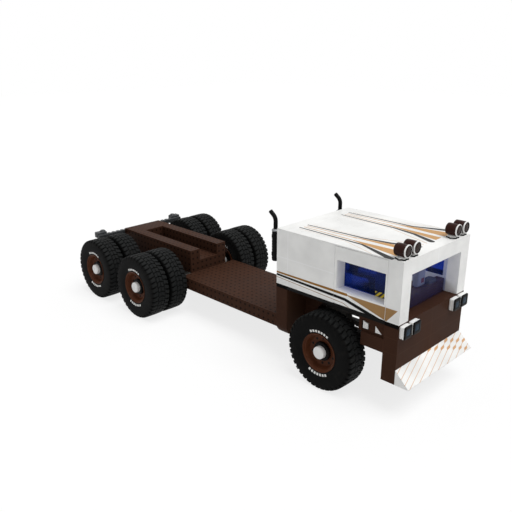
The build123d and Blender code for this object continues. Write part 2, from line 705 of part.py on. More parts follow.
# Wheels: single in front, twin at both rear axles
for side_name, side in (("left", 1), ("right", -1)):
    with BuildPart() as front_tyre:
        tyre(side * wheel_inner_x, side * front_outer_x, front_axle_y)
    front_tyre.part.label = "tyre_front_" + side_name
    export_step(front_tyre.part, "parts/tyre_front_" + side_name + ".step")

    with BuildPart() as front_rim:
        rim(side, wheel_inner_x, front_outer_x, front_disc_back_x, front_axle_y)
    front_rim.part.label = "rim_front_" + side_name
    export_step(front_rim.part, "parts/rim_front_" + side_name + ".step")

    for axle_name, y in (("mid", mid_axle_y), ("rear", rear_axle_y)):
        with BuildPart() as twin_tyres:
            tyre(side * twin_outer_x0, side * twin_outer_x1, y)
            tyre(side * wheel_inner_x, side * twin_inner_x1, y)
        twin_tyres.part.label = "tyres_" + axle_name + "_" + side_name
        export_step(twin_tyres.part, "parts/tyres_" + axle_name + "_" + side_name + ".step")

        with BuildPart() as twin_rim:
            rim(side, wheel_inner_x, twin_outer_x1, rear_disc_back_x, y)
            twin_web(side, wheel_inner_x, y)
        twin_rim.part.label = "rim_" + axle_name + "_" + side_name
        export_step(twin_rim.part, "parts/rim_" + axle_name + "_" + side_name + ".step")
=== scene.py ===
import math
import bmesh
import bpy
import numpy as np
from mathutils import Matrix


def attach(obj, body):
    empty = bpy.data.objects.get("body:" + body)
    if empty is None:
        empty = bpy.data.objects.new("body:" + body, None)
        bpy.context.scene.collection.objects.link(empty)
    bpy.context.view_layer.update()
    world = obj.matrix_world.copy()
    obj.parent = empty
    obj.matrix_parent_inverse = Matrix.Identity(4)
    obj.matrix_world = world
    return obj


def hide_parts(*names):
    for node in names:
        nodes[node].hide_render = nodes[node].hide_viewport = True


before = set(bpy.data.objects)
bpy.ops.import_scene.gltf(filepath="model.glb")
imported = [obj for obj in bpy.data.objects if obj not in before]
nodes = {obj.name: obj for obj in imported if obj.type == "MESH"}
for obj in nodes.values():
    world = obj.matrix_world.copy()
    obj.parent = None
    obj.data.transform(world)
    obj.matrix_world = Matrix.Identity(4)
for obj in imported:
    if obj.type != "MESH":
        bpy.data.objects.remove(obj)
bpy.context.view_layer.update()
print("frame loaded:", len(nodes), "nodes")

# the body's grid: its step, the cab's rear face and the body's underside
grid = {"step": 0.25, "rearY": -1.48125, "baseZ": 0.5485}
cab = {"front": grid["rearY"] - 2.5, "inner": grid["rearY"] - 2.25, "floor": grid["baseZ"] + 1.0,
       "roof": grid["baseZ"] + 2.0}
sides = {"left": 1, "right": -1}


def paint(red, green, blue):
    # 8-bit screen colour to linear light
    c = np.array([red, green, blue]) / 255.0
    return tuple(np.where(c > 0.04045, ((c + 0.055) / 1.055) ** 2.4, c / 12.92)) + (1.0,)


# mesh building: every surface is a grid of points
meshing = {"weld": 0.00002, "bendSteps": 5, "closed": -10.0, "sharpest": 24.0, "smallEdge": 1e-4}


def gridQuads(rows, cols, closeRows, closeCols, start):
    # each quad joins a point with the next one along both parameters, wrapped where the grid is closed
    i, j = np.meshgrid(np.arange(rows if closeRows else rows - 1), np.arange(cols if closeCols else cols - 1),
                       indexing="ij")
    below, beside = (i + 1) % rows, (j + 1) % cols
    quads = np.stack([i * cols + j, i * cols + beside, below * cols + beside, below * cols + j], -1)
    return quads.reshape(-1, 4) + start


def makePiece(name, surfaces, materials, body, replaced=(), sharp=35.0):
    # surfaces: list of (points, closeRows, closeCols, material index); poles and seams are welded afterwards
    points, quads, finishes, count = [], [], [], 0
    for surface, closeRows, closeCols, finish in surfaces:
        rows, cols = surface.shape[:2]
        faces = gridQuads(rows, cols, closeRows, closeCols, count)
        points.append(surface.reshape(-1, 3))
        quads.append(faces)
        finishes.append(np.full(len(faces), finish, np.int32))
        count += rows * cols
    mesh = bpy.data.meshes.new(name)
    mesh.from_pydata(np.concatenate(points), [], np.concatenate(quads))
    for material in materials:
        mesh.materials.append(looks[material])
    mesh.polygons.foreach_set("material_index", np.concatenate(finishes))
    work = bmesh.new()
    work.from_mesh(mesh)
    bmesh.ops.remove_doubles(work, verts=work.verts, dist=meshing["weld"])
    bmesh.ops.recalc_face_normals(work, faces=work.faces)
    work.to_mesh(mesh)
    work.free()
    mesh.shade_smooth()
    mesh.set_sharp_from_angle(angle=math.radians(sharp))
    piece = bpy.data.objects.new(name, mesh)
    bpy.context.scene.collection.objects.link(piece)
    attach(piece, body)
    if replaced:
        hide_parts(*replaced)
    return piece


def fullTurn(steps):
    return np.linspace(0, 2 * np.pi, steps, endpoint=False)


def shift(rows, place):
    # profile rows of (place along the axis, radius), moved along the axis
    return [(place + along, radius) for along, radius in rows]


def lathe(profile, centre, axis, steps, finish=0):
    # a profile of (place along the axis, radius) turned once about the axis through centre
    profile = np.asarray(profile, float)
    turn = fullTurn(steps)[:, None]
    along = np.broadcast_to(profile[None, :, 0], (steps, len(profile)))
    one, two = profile[None, :, 1] * np.cos(turn), profile[None, :, 1] * np.sin(turn)
    order = {"x": (along, one, two), "y": (two, along, one), "z": (one, two, along)}[axis]
    return (np.stack(order, -1) + np.asarray(centre, float), True, False, finish)


def roundedLoop(halfU, halfV, power, steps):
    # superellipse outline: cosine and sine of the turn, each raised to 2 / power with its sign kept
    turn = fullTurn(steps)
    c, s = np.cos(turn), np.sin(turn)
    u, v = (np.sign(t) * np.abs(t) ** (2 / power) for t in (c, s))
    return np.stack([halfU * u, halfV * v], -1)


def carriedLoop(along, sizes, middle, axis, power, steps, finish):
    # superellipse rings across one axis: each has its place along it and two half sizes about the middle
    loop = roundedLoop(1.0, 1.0, power, steps)
    points = np.zeros((len(along), steps, 3))
    points[..., axis] = along[:, None]
    for k, other in enumerate(a for a in range(3) if a != axis):
        points[..., other] = middle[k] + sizes[:, k:k + 1] * loop[None, :, k]
    return (points, False, True, finish)


def roundedBox(low, high, edge, finish=0, axis=2, steps=40):
    # a superellipse carried along one axis: it swells from nothing to full size over the edge at each end
    low, high = np.asarray(low, float), np.asarray(high, float)
    others = [a for a in range(3) if a != axis]
    half, middle = (high - low) / 2, (high + low) / 2
    bend = np.linspace(0, np.pi / 2, meshing["bendSteps"])
    rise = np.stack([low[axis] + edge * (1 - np.cos(bend)), edge * (np.sin(bend) - 1)], -1)
    rise = np.concatenate([[[low[axis], meshing["closed"]]], rise])
    fall = np.stack([high[axis] + low[axis] - rise[::-1, 0], rise[::-1, 1]], -1)
    along = np.concatenate([rise, fall])
    sizes = np.maximum(half[others][None, :] + along[:, 1:2], 0.0)
    power = min(2 + 2 * half[others].min() / max(edge, meshing["smallEdge"]), meshing["sharpest"])
    return carriedLoop(along[:, 0], sizes, middle[others], axis, power, steps, finish)


# shader building

def feed(socket, value):
    # numbers, colours and vectors are set on the socket itself, and a node's output is linked to it
    if isinstance(value, (int, float, tuple)):
        socket.default_value = value
    else:
        socket.id_data.links.new(value, socket)


def fill(sockets, values):
    for socket, value in zip(sockets, values):
        feed(socket, value)


def feedAll(node, values):
    for name, value in values.items():
        feed(node.inputs[name], value)


def treeOf(values):
    # the node tree of the first node output among the values
    return next(value.id_data for value in values if isinstance(value, bpy.types.NodeSocket))


def addMaths(operation, *values, clamp=False):
    node = treeOf(values).nodes.new("ShaderNodeMath")
    node.operation, node.use_clamp = operation, clamp
    fill(node.inputs, values)
    return node.outputs[0]


def times(first, *others):
    for other in others:
        first = addMaths("MULTIPLY", first, other)
    return first


def minus(first, second):
    return addMaths("SUBTRACT", first, second)


def strongest(masks):
    top = masks[0]
    for mask in masks[1:]:
        top = addMaths("MAXIMUM", top, mask)
    return top


def fold(coordinate, step):
    # distance from the middle of a repeating cell, as a share of the step
    share = addMaths("FRACT", addMaths("DIVIDE", coordinate, step))
    return addMaths("ABSOLUTE", minus(share, 0.5))


def addVector(operation, *values):
    node = treeOf(values).nodes.new("ShaderNodeVectorMath")
    node.operation = operation
    fill(node.inputs, values)
    return node.outputs["Value" if operation in ("DOT_PRODUCT", "LENGTH") else "Vector"]


def addMix(factor, first, second, blend="MIX"):
    node = treeOf((factor, first, second)).nodes.new("ShaderNodeMix")
    node.data_type, node.blend_type = "RGBA", blend
    fill((node.inputs[0], node.inputs[6], node.inputs[7]), (factor, first, second))
    return node.outputs[2]


def addRange(value, fromLow, fromHigh, toLow=0.0, toHigh=1.0):
    node = value.id_data.nodes.new("ShaderNodeMapRange")
    node.interpolation_type = "SMOOTHSTEP"
    feedAll(node, {"Value": value, "From Min": fromLow, "From Max": fromHigh, "To Min": toLow,
                   "To Max": toHigh})
    return node.outputs["Result"]


def addNoise(vector, scale, detail):
    node = vector.id_data.nodes.new("ShaderNodeTexNoise")
    feedAll(node, {"Vector": vector, "Scale": scale, "Detail": detail})
    return node.outputs["Fac"]


def addBump(height, strength, distance):
    node = height.id_data.nodes.new("ShaderNodeBump")
    feedAll(node, {"Height": height, "Strength": strength, "Distance": distance})
    return node


def objectCoords(tree):
    return tree.nodes.new("ShaderNodeTexCoord").outputs["Object"]


def splitXyz(vector):
    node = vector.id_data.nodes.new("ShaderNodeSeparateXYZ")
    feed(node.inputs[0], vector)
    return node.outputs


def flatPoint(x, y):
    node = x.id_data.nodes.new("ShaderNodeCombineXYZ")
    feedAll(node, {"X": x, "Y": y})
    return node.outputs[0]


def newGroup(name, inputs, outputs):
    # each socket is named with its kind, or with a number: the default of a float socket
    tree = bpy.data.node_groups.new(name, "ShaderNodeTree")
    for label, kind in inputs.items():
        number = isinstance(kind, float)
        kindName = "NodeSocketFloat" if number else "NodeSocket" + kind
        socket = tree.interface.new_socket(name=label, in_out="INPUT", socket_type=kindName)
        if number:
            socket.default_value = kind
    for label, kind in outputs.items():
        tree.interface.new_socket(name=label, in_out="OUTPUT", socket_type="NodeSocket" + kind)
    return tree, tree.nodes.new("NodeGroupInput").outputs, tree.nodes.new("NodeGroupOutput").inputs


def useGroup(tree, group, **values):
    node = tree.nodes.new("ShaderNodeGroup")
    node.node_tree = group
    feedAll(node, values)
    return node.outputs


# how fast a painted edge falls off, per block unit
maskSharpness = 40.0


def edgeMask(inside):
    # one where the distance inside an outline is positive, with a short soft edge about nought
    return addMaths("MULTIPLY_ADD", inside, maskSharpness, 0.5, clamp=True)


def buildStripeGroup():
    # mask of a straight band: the distance to the segment Start-End is under a width that grows along it
    tree, take, give = newGroup("stripe", {"Point": "Vector", "Start": "Vector", "End": "Vector",
                                           "Width": 0.05, "Widen": 0.0}, {"Mask": "Float"})
    run = addVector("SUBTRACT", take["End"], take["Start"])
    offset = addVector("SUBTRACT", take["Point"], take["Start"])
    length = addVector("DOT_PRODUCT", run, run)
    share = addMaths("DIVIDE", addVector("DOT_PRODUCT", offset, run), length, clamp=True)
    scale = tree.nodes.new("ShaderNodeVectorMath")
    scale.operation = "SCALE"
    feed(scale.inputs[0], run)
    feed(scale.inputs["Scale"], share)
    gap = addVector("LENGTH", addVector("SUBTRACT", offset, scale.outputs[0]))
    half = addMaths("MULTIPLY_ADD", share, take["Widen"], take["Width"])
    feed(give["Mask"], edgeMask(minus(half, gap)))
    return tree


def buildTriangleGroup():
    # mask of a triangle with corners in turning order: inside where all three edge distances are positive
    tree, take, give = newGroup("triangle", {"Point": "Vector", "A": "Vector", "B": "Vector", "C": "Vector"},
                                {"Mask": "Float"})
    masks = []
    for first, second in (("A", "B"), ("B", "C"), ("C", "A")):
        run = addVector("NORMALIZE", addVector("SUBTRACT", take[second], take[first]))
        area = addVector("CROSS_PRODUCT", run, addVector("SUBTRACT", take["Point"], take[first]))
        masks.append(edgeMask(splitXyz(area)[2]))
    feed(give["Mask"], times(*masks))
    return tree


def buildSeamGroup():
    # mask of a panel line: it fades from one at its place to nought at the width
    tree, take, give = newGroup("panelSeam", {"Coordinate": 0.0, "Place": 0.0, "Width": 0.004},
                                {"Mask": "Float"})
    gap = addMaths("ABSOLUTE", minus(take["Coordinate"], take["Place"]))
    share = addMaths("DIVIDE", gap, take["Width"], clamp=True)
    feed(give["Mask"], minus(1.0, share))
    return tree


weather = {"slow": 1.7, "fine": 60.0, "patch": 6.0, "dust": paint(150, 132, 112), "dustTop": 1.5,
           "dustLeft": 0.15, "tones": ((0.92, 0.92, 0.92, 1), (1.05, 1.05, 1.05, 1)), "spread": 0.25,
           "dustRough": 0.4, "slowRange": (0.3, 0.7), "patchRange": (0.35, 0.75)}


def buildWeatherGroup():
    # slow tone changes and fine grain from two noises, and dust that thins out with height
    tree, take, give = newGroup("weather", {"Color": "Color", "Dust": 0.2, "Shine": 0.4},
                                {"Color": "Color", "Roughness": "Float", "Height": "Float"})
    where = objectCoords(tree)
    slow, fine = (addNoise(where, weather[scale], 4.0) for scale in ("slow", "fine"))
    tone = addMix(addRange(slow, *weather["slowRange"]), *weather["tones"])
    toned = addMix(1.0, take["Color"], tone, "MULTIPLY")
    low = addRange(splitXyz(where)[2], 0.0, weather["dustTop"], 1.0, weather["dustLeft"])
    patches = addRange(addNoise(where, weather["patch"], 6.0), *weather["patchRange"])
    dust = times(low, take["Dust"], patches)
    feed(give["Color"], addMix(dust, toned, weather["dust"]))
    swing = times(minus(slow, 0.5), weather["spread"])
    rough = addMaths("ADD", take["Shine"], swing)
    rough = addMaths("ADD", rough, times(dust, weather["dustRough"]), clamp=True)
    feed(give["Roughness"], rough)
    feed(give["Height"], fine)
    return tree


edgeWear = {"samples": 4, "flat": 0.98, "bent": 0.8, "patch": 9.0, "patchRange": (0.42, 0.62),
            "relief": (0.35, 0.003)}


def roundedNormal(tree, radius):
    bevel = tree.nodes.new("ShaderNodeBevel")
    bevel.samples = edgeWear["samples"]
    feed(bevel.inputs["Radius"], radius)
    return bevel.outputs[0]


def buildEdgeGroup():
    # worn edges: the rounded normal leans away from the face normal there, broken up by noise
    tree, take, give = newGroup("edgeWear", {"Radius": 0.012, "Amount": 1.0}, {"Mask": "Float"})
    flat = tree.nodes.new("ShaderNodeNewGeometry").outputs["Normal"]
    lean = addVector("DOT_PRODUCT", roundedNormal(tree, take["Radius"]), flat)
    rim = addRange(lean, edgeWear["flat"], edgeWear["bent"])
    patch = addRange(addNoise(objectCoords(tree), edgeWear["patch"], 6.0), *edgeWear["patchRange"])
    worn = addMaths("MULTIPLY", times(rim, patch), take["Amount"], clamp=True)
    feed(give["Mask"], worn)
    return tree


groups = {"stripe": buildStripeGroup(), "triangle": buildTriangleGroup(), "seam": buildSeamGroup(),
          "weather": buildWeatherGroup(), "edge": buildEdgeGroup()}


def newFinish(name):
    material = bpy.data.materials.new(name)
    material.use_nodes = True
    tree = material.node_tree
    return material, tree, tree.nodes["Principled BSDF"]


def finishPaint(tree, shader, colour, dust, shine, wear, wearColour, radius=0.006, bump=0.0, gloss=0.5,
                lines=None):
    # weathered colour, worn edges and softened corners on one shader
    aged = useGroup(tree, groups["weather"], Color=colour, Dust=dust, Shine=shine)
    worn = useGroup(tree, groups["edge"], Radius=radius * 2, Amount=wear)["Mask"]
    height = times(aged["Height"], bump)
    if lines is not None:
        height = minus(height, lines)
    relief = addBump(height, *edgeWear["relief"])
    feed(relief.inputs["Normal"], roundedNormal(tree, radius))
    feedAll(shader, {"Base Color": addMix(worn, aged["Color"], wearColour),
                     "Roughness": aged["Roughness"], "Specular IOR Level": gloss,
                     "Normal": relief.outputs[0]})


def seamMask(coordinate, places, width):
    tree = coordinate.id_data
    return strongest([useGroup(tree, groups["seam"], Coordinate=coordinate, Place=place, Width=width)["Mask"]
                      for place in places])


def gridCoords(tree):
    # object coordinates in block units, with the two sides folded together
    x, y, z = splitXyz(objectCoords(tree))
    spans = (addMaths("ABSOLUTE", x), minus(y, grid["rearY"]), minus(z, grid["baseZ"]))
    return [addMaths("DIVIDE", span, grid["step"]) for span in spans]


# white cab paint: panel lines painted purer white as a painted highlight, fanned roof stripes and the side
# stripe, all placed in block units
# a band has its start, its end, half its width there and how much that grows; a fan has three corners
whiteCab = {"white": paint(246, 246, 244), "seam": paint(255, 255, 255), "black": paint(12, 11, 11),
            "tan": paint(205, 154, 92), "gold": paint(150, 104, 40), "sideTan": paint(165, 129, 86),
            "worn": paint(214, 214, 212), "roof": 7.98, "side": 3.985, "seamWidth": 0.045,
            "upright": (-1.0, -5.0, -9.0), "level": 6.0, "door": -5.0, "screen": -9.0,
            "roofBlack": [((1.9, -1.0), (1.7, -5.6), 0.06, 0.04), ((1.7, -5.6), (1.38, -7.4), 0.1, 0.04),
                          ((1.38, -7.4), (0.76, -9.0), 0.14, 0.08), ((2.78, -1.0), (2.9, -6.3), 0.06, 0.04),
                          ((2.9, -6.3), (3.9, -9.0), 0.1, 0.14)],
            "roofTan": [((2.14, -1.1), (2.05, -5.2), 0.035, 0.02), ((2.46, -1.1), (2.58, -5.2), 0.035, 0.02)],
            "roofFaint": [((3.1, -5.2), (3.95, -7.7), 0.015, 0.0), ((1.45, -5.5), (0.2, -9.0), 0.015, 0.01),
                          ((1.66, -1.2), (1.45, -5.5), 0.012, 0.0), ((3.02, -1.2), (3.1, -5.2), 0.012, 0.0)],
            "roofFans": [((2.04, -4.6), (1.22, -9.05), (1.95, -9.05)),
                         ((2.55, -4.9), (2.3, -9.05), (3.32, -9.05))],
            "sideGold": [((0.0, 4.85), (-6.05, 4.85), 0.06, 0.03)],
            "sideBlack": [((0.0, 4.67), (-5.94, 4.5), 0.07, 0.03), ((-5.94, 4.5), (-8.6, 3.9), 0.1, 0.03)],
            "sideThin": [((0.0, 4.48), (-5.83, 4.21), 0.018, 0.0), ((-5.83, 4.21), (-6.36, 4.0), 0.018, 0.0)],
            "sideFans": [((-9.84, 4.9), (-9.1, 4.01), (-5.9, 4.86))]}


def buildWhiteCab():
    material, tree, shader = newFinish("whiteCabPaint")
    across, along, up = gridCoords(tree)
    onRoof = addMaths("GREATER_THAN", up, whiteCab["roof"])
    onSide = addMaths("GREATER_THAN", across, whiteCab["side"])
    faces = {"roof": (flatPoint(across, along), onRoof), "side": (flatPoint(along, up), onSide)}

    def seams(coordinate, *places):
        return seamMask(coordinate, places, whiteCab["seamWidth"])

    def band(point, start, end, width, widen):
        return useGroup(tree, groups["stripe"], Point=point, Start=start + (0,), End=end + (0,), Width=width,
                        Widen=widen)["Mask"]

    def fan(point, a, b, c):
        return useGroup(tree, groups["triangle"], Point=point, A=a + (0,), B=b + (0,), C=c + (0,))["Mask"]

    upright = times(seams(along, *whiteCab["upright"]), addMaths("MAXIMUM", onSide, onRoof))
    behind = addMaths("GREATER_THAN", along, whiteCab["door"])
    level = times(seams(up, whiteCab["level"]), onSide, behind)
    middle = times(seams(across, 0.0), addMaths("LESS_THAN", along, whiteCab["screen"]))
    # painted highlight: the panel lines are mixed to a purer white than the panels, standing in for light on
    # bevelled seams
    colour = addMix(strongest([upright, level, middle]), whiteCab["white"], whiteCab["seam"])
    for rows, face, tint, form in (("roofFaint", "roof", "tan", band), ("roofTan", "roof", "tan", band),
                                   ("roofBlack", "roof", "black", band), ("sideThin", "side", "gold", band),
                                   ("sideGold", "side", "gold", band), ("sideBlack", "side", "black", band),
                                   ("roofFans", "roof", "tan", fan), ("sideFans", "side", "sideTan", fan)):
        point, onFace = faces[face]
        mask = strongest([form(point, *row) for row in whiteCab[rows]])
        colour = addMix(times(mask, onFace), colour, whiteCab[tint])
    finishPaint(tree, shader, colour, 0.012, 0.3, 0.12, whiteCab["worn"], gloss=0.06)
    return material


# brown body paint: panel lines on the grid painted lighter as a painted highlight, rows of small pits and a
# painted shadow strip on the sides under the cab
brownBody = {"brown": paint(63, 41, 31), "worn": paint(80, 56, 44), "line": paint(84, 58, 44),
             "dark": paint(9, 7, 7), "pitStep": 0.125, "pitSize": 0.028, "pitDepth": 0.85, "seamWidth": 0.02,
             "seamHighlightShare": 0.6, "deckSeam": 6.0, "cabEnd": 0.02, "side": 3.98, "paintedShadowLow": 3.76,
             "paintedShadowEdge": 0.06, "cabSeams": ((-1.0, -9.0), (2.0, 3.0), (0.0,)), "seamRelief": 0.5}


def buildBrownBody():
    material, tree, shader = newFinish("brownBodyPaint")
    x, y, z = splitXyz(objectCoords(tree))
    across, along, up = gridCoords(tree)
    # a pit sits where two of the three folded coordinates are both near their cell's middle
    squares = []
    for c in (x, minus(y, grid["rearY"]), minus(z, grid["baseZ"])):
        span = times(fold(c, brownBody["pitStep"]), brownBody["pitStep"])
        squares.append(addMaths("POWER", span, 2.0))
    rings = [addMaths("SQRT", addMaths("ADD", squares[a], squares[b]))
             for a, b in ((0, 1), (1, 2), (0, 2))]
    closest = addMaths("MINIMUM", addMaths("MINIMUM", rings[0], rings[1]), rings[2])
    pits = times(addRange(closest, brownBody["pitSize"], brownBody["pitSize"] * 0.5),
                 addMaths("GREATER_THAN", along, 0.0))
    onCab = addMaths("LESS_THAN", along, brownBody["cabEnd"])
    deckSeam = seamMask(along, (brownBody["deckSeam"],), brownBody["seamWidth"])
    cabSeams = [seamMask(c, places, brownBody["seamWidth"])
                for c, places in zip((along, up, across), brownBody["cabSeams"])]
    seams = times(strongest(cabSeams + [deckSeam]), addMaths("MAXIMUM", onCab, deckSeam))
    onSide = times(onCab, addMaths("GREATER_THAN", across, brownBody["side"]))
    low = brownBody["paintedShadowLow"]
    # painted shadow: a dark band along the top of the side faces, just under the white cab's lower edge
    strip = times(addRange(up, low - brownBody["paintedShadowEdge"], low), onSide)
    # painted highlight: the panel lines are mixed lighter than the brown, standing in for light on bevelled
    # seams
    colour = addMix(times(seams, brownBody["seamHighlightShare"]), brownBody["brown"], brownBody["line"])
    colour = addMix(times(pits, brownBody["pitDepth"]), colour, brownBody["dark"])
    colour = addMix(strip, colour, brownBody["dark"])
    finishPaint(tree, shader, colour, 0.02, 0.5, 0.25, brownBody["worn"], bump=0.3, gloss=0.025,
                lines=addMaths("ADD", pits, times(seams, brownBody["seamRelief"])))
    return material


# white wedge with thin tan slanted lines, thicker along two arcs given as bend, rise and start
hatch = {"spacing": 0.285, "slant": 2.75, "phase": 0.0375, "thin": 0.045, "thick": 0.26, "reach": 0.06,
         "arcs": ((-0.113, -0.259, 0.352), (0.0, -0.362, 0.513)), "tan": paint(214, 164, 116),
         "worn": paint(196, 196, 194), "uphill": 1.414, "faceGap": 0.24, "sharp": 14.0}


def buildWedgeHatch():
    material, tree, shader = newFinish("wedgeHatchPaint")
    x, y, z = splitXyz(objectCoords(tree))
    slope = times(minus(z, grid["baseZ"]), hatch["uphill"])
    shifted = minus(x, addMaths("MULTIPLY_ADD", slope, hatch["slant"], hatch["phase"]))
    wave = fold(shifted, hatch["spacing"])
    gaps = []
    for bend, rise, start in hatch["arcs"]:
        height = addMaths("MULTIPLY_ADD", addMaths("MULTIPLY_ADD", x, bend, rise), x, start)
        gaps.append(addMaths("ABSOLUTE", minus(height, slope)))
    nearest = addMaths("MINIMUM", *gaps)
    swell = addRange(nearest, hatch["reach"], 0.0, hatch["thin"], hatch["thick"])
    front = addMaths("LESS_THAN", minus(y, z), cab["front"] - grid["baseZ"] - hatch["faceGap"])
    mask = addMaths("MULTIPLY_ADD", minus(swell, wave), hatch["sharp"], 0.5, clamp=True)
    colour = addMix(times(mask, front), whiteCab["white"], hatch["tan"])
    finishPaint(tree, shader, colour, 0.08, 0.32, 0.3, hatch["worn"])
    return material


def buildPlainPaint(name, colour, dust, shine, wear, wearColour, metal=0.0, radius=0.004, bump=0.4,
                    gloss=0.5):
    material, tree, shader = newFinish(name)
    finishPaint(tree, shader, paint(*colour), dust, shine, wear, paint(*wearColour), radius, bump, gloss)
    shader.inputs["Metallic"].default_value = metal
    return material


def newNodes(tree, *kinds):
    return [tree.nodes.new("ShaderNode" + kind) for kind in kinds]


def mixShaders(tree, factor, first, second):
    both = tree.nodes.new("ShaderNodeMixShader")
    fill(both.inputs, (factor, first.outputs[0], second.outputs[0]))
    feed(tree.nodes["Material Output"].inputs["Surface"], both.outputs[0])


glass = {"smear": 4.0, "roughRange": (0.3, 0.8, 0.03, 0.1), "grazing": 5.0, "grazingCover": 0.5}


def buildGlass(name, tint, body, cover):
    # tinted pane: light passes through the tint, less so at a grazing look, under a smeared gloss
    material, tree, shader = newFinish(name)
    smear = addNoise(objectCoords(tree), glass["smear"], 5.0)
    feedAll(shader, {"Base Color": body, "Roughness": addRange(smear, *glass["roughRange"])})
    clear, edge = newNodes(tree, "BsdfTransparent", "LayerWeight")
    clear.inputs["Color"].default_value = tint
    grazing = addMaths("POWER", edge.outputs["Facing"], glass["grazing"])
    mixShaders(tree, addMaths("MULTIPLY_ADD", grazing, glass["grazingCover"], cover), clear, shader)
    return material


lensLook = {"paintedGlintRange": (0.45, 0.1), "paintedGlint": 0.7, "roughRange": (0.0, 0.6, 0.12, 0.3), "gloss": 0.06,
            "coat": 0.04, "relief": (0.5, 0.004)}


def buildLens(name, colour, glow, cell):
    # moulded lens: small cells painted brighter over a dark bowl, a painted glint
    material, tree, shader = newFinish(name)
    cells = tree.nodes.new("ShaderNodeTexVoronoi")
    feedAll(cells, {"Scale": cell, "Vector": objectCoords(tree)})
    gap = cells.outputs["Distance"]
    paintedGlint = times(addRange(gap, *lensLook["paintedGlintRange"]), lensLook["paintedGlint"])
    feedAll(shader, {"Base Color": addMix(paintedGlint, paint(*colour), paint(*glow)),
                     "Roughness": addRange(gap, *lensLook["roughRange"]),
                     "Specular IOR Level": lensLook["gloss"], "Coat Weight": lensLook["coat"],
                     "Normal": addBump(gap, *lensLook["relief"]).outputs[0]})
    return material


rubber = {"tread": paint(30, 31, 31), "wall": paint(11, 11, 11), "dirt": paint(84, 78, 70), "grain": 220.0,
          "blotch": 9.0, "dirtRange": (0.5, 0.8), "dirtShare": 0.06, "roughRange": (0.3, 0.7, 0.55, 0.75),
          "gloss": 0.06, "relief": (0.25, 0.001)}


def buildRubber():
    # rubber: fine grain, greyer on the lug tips than on the smooth walls
    material, tree, shader = newFinish("tyreRubber")
    where = objectCoords(tree)
    # the tread attribute is one on the lug tips, which take the greyer tread colour
    worn = tree.nodes.new("ShaderNodeAttribute")
    worn.attribute_name = "tread"
    grain = addNoise(where, rubber["grain"], 3.0)
    dirt = times(addRange(addNoise(where, rubber["blotch"], 5.0), *rubber["dirtRange"]), rubber["dirtShare"])
    colour = addMix(worn.outputs["Fac"], rubber["wall"], rubber["tread"])
    feedAll(shader, {"Base Color": addMix(dirt, colour, rubber["dirt"]),
                     "Roughness": addRange(grain, *rubber["roughRange"]),
                     "Specular IOR Level": rubber["gloss"],
                     "Normal": addBump(grain, *rubber["relief"]).outputs[0]})
    return material


cloth = {"dark": paint(150, 153, 160), "light": paint(178, 180, 184), "thread": paint(116, 118, 124),
         "threads": 1400.0, "fleck": 120.0, "fleckRange": (0.35, 0.7), "threadShare": 0.2,
         "roughRange": (0.3, 0.7, 0.8, 0.95), "relief": (0.3, 0.001), "sheen": 0.2}


def buildCloth():
    # woven seat cloth: two crossed waves for the threads, with darker flecks
    material, tree, shader = newFinish("greySeatCloth")
    where = objectCoords(tree)
    x, y, z = splitXyz(where)
    waves = [addMaths("SINE", times(run, cloth["threads"]))
             for run in (addMaths("ADD", x, z), minus(y, z))]
    threads = times(*waves)
    fleck = addNoise(where, cloth["fleck"], 4.0)
    colour = addMix(addRange(fleck, *cloth["fleckRange"]), cloth["dark"], cloth["light"])
    colour = addMix(addRange(threads, -1.0, 1.0, 0.0, cloth["threadShare"]), colour, cloth["thread"])
    feedAll(shader, {"Base Color": colour, "Roughness": addRange(fleck, *cloth["roughRange"]),
                     "Normal": addBump(threads, *cloth["relief"]).outputs[0], "Sheen Weight": cloth["sheen"]})
    return material


hazard = {"yellow": paint(226, 196, 40), "black": paint(20, 20, 20), "worn": paint(120, 110, 60),
          "step": 0.09}


def buildHazard():
    # slanted yellow and black bands
    material, tree, shader = newFinish("hazardBands")
    x, y, z = splitXyz(objectCoords(tree))
    run = addMaths("ADD", addMaths("ADD", x, y), z)
    wave = addMaths("FRACT", addMaths("DIVIDE", run, hazard["step"]))
    colour = addMix(addMaths("GREATER_THAN", wave, 0.5), hazard["yellow"], hazard["black"])
    finishPaint(tree, shader, colour, 0.1, 0.45, 0.2, hazard["worn"])
    return material


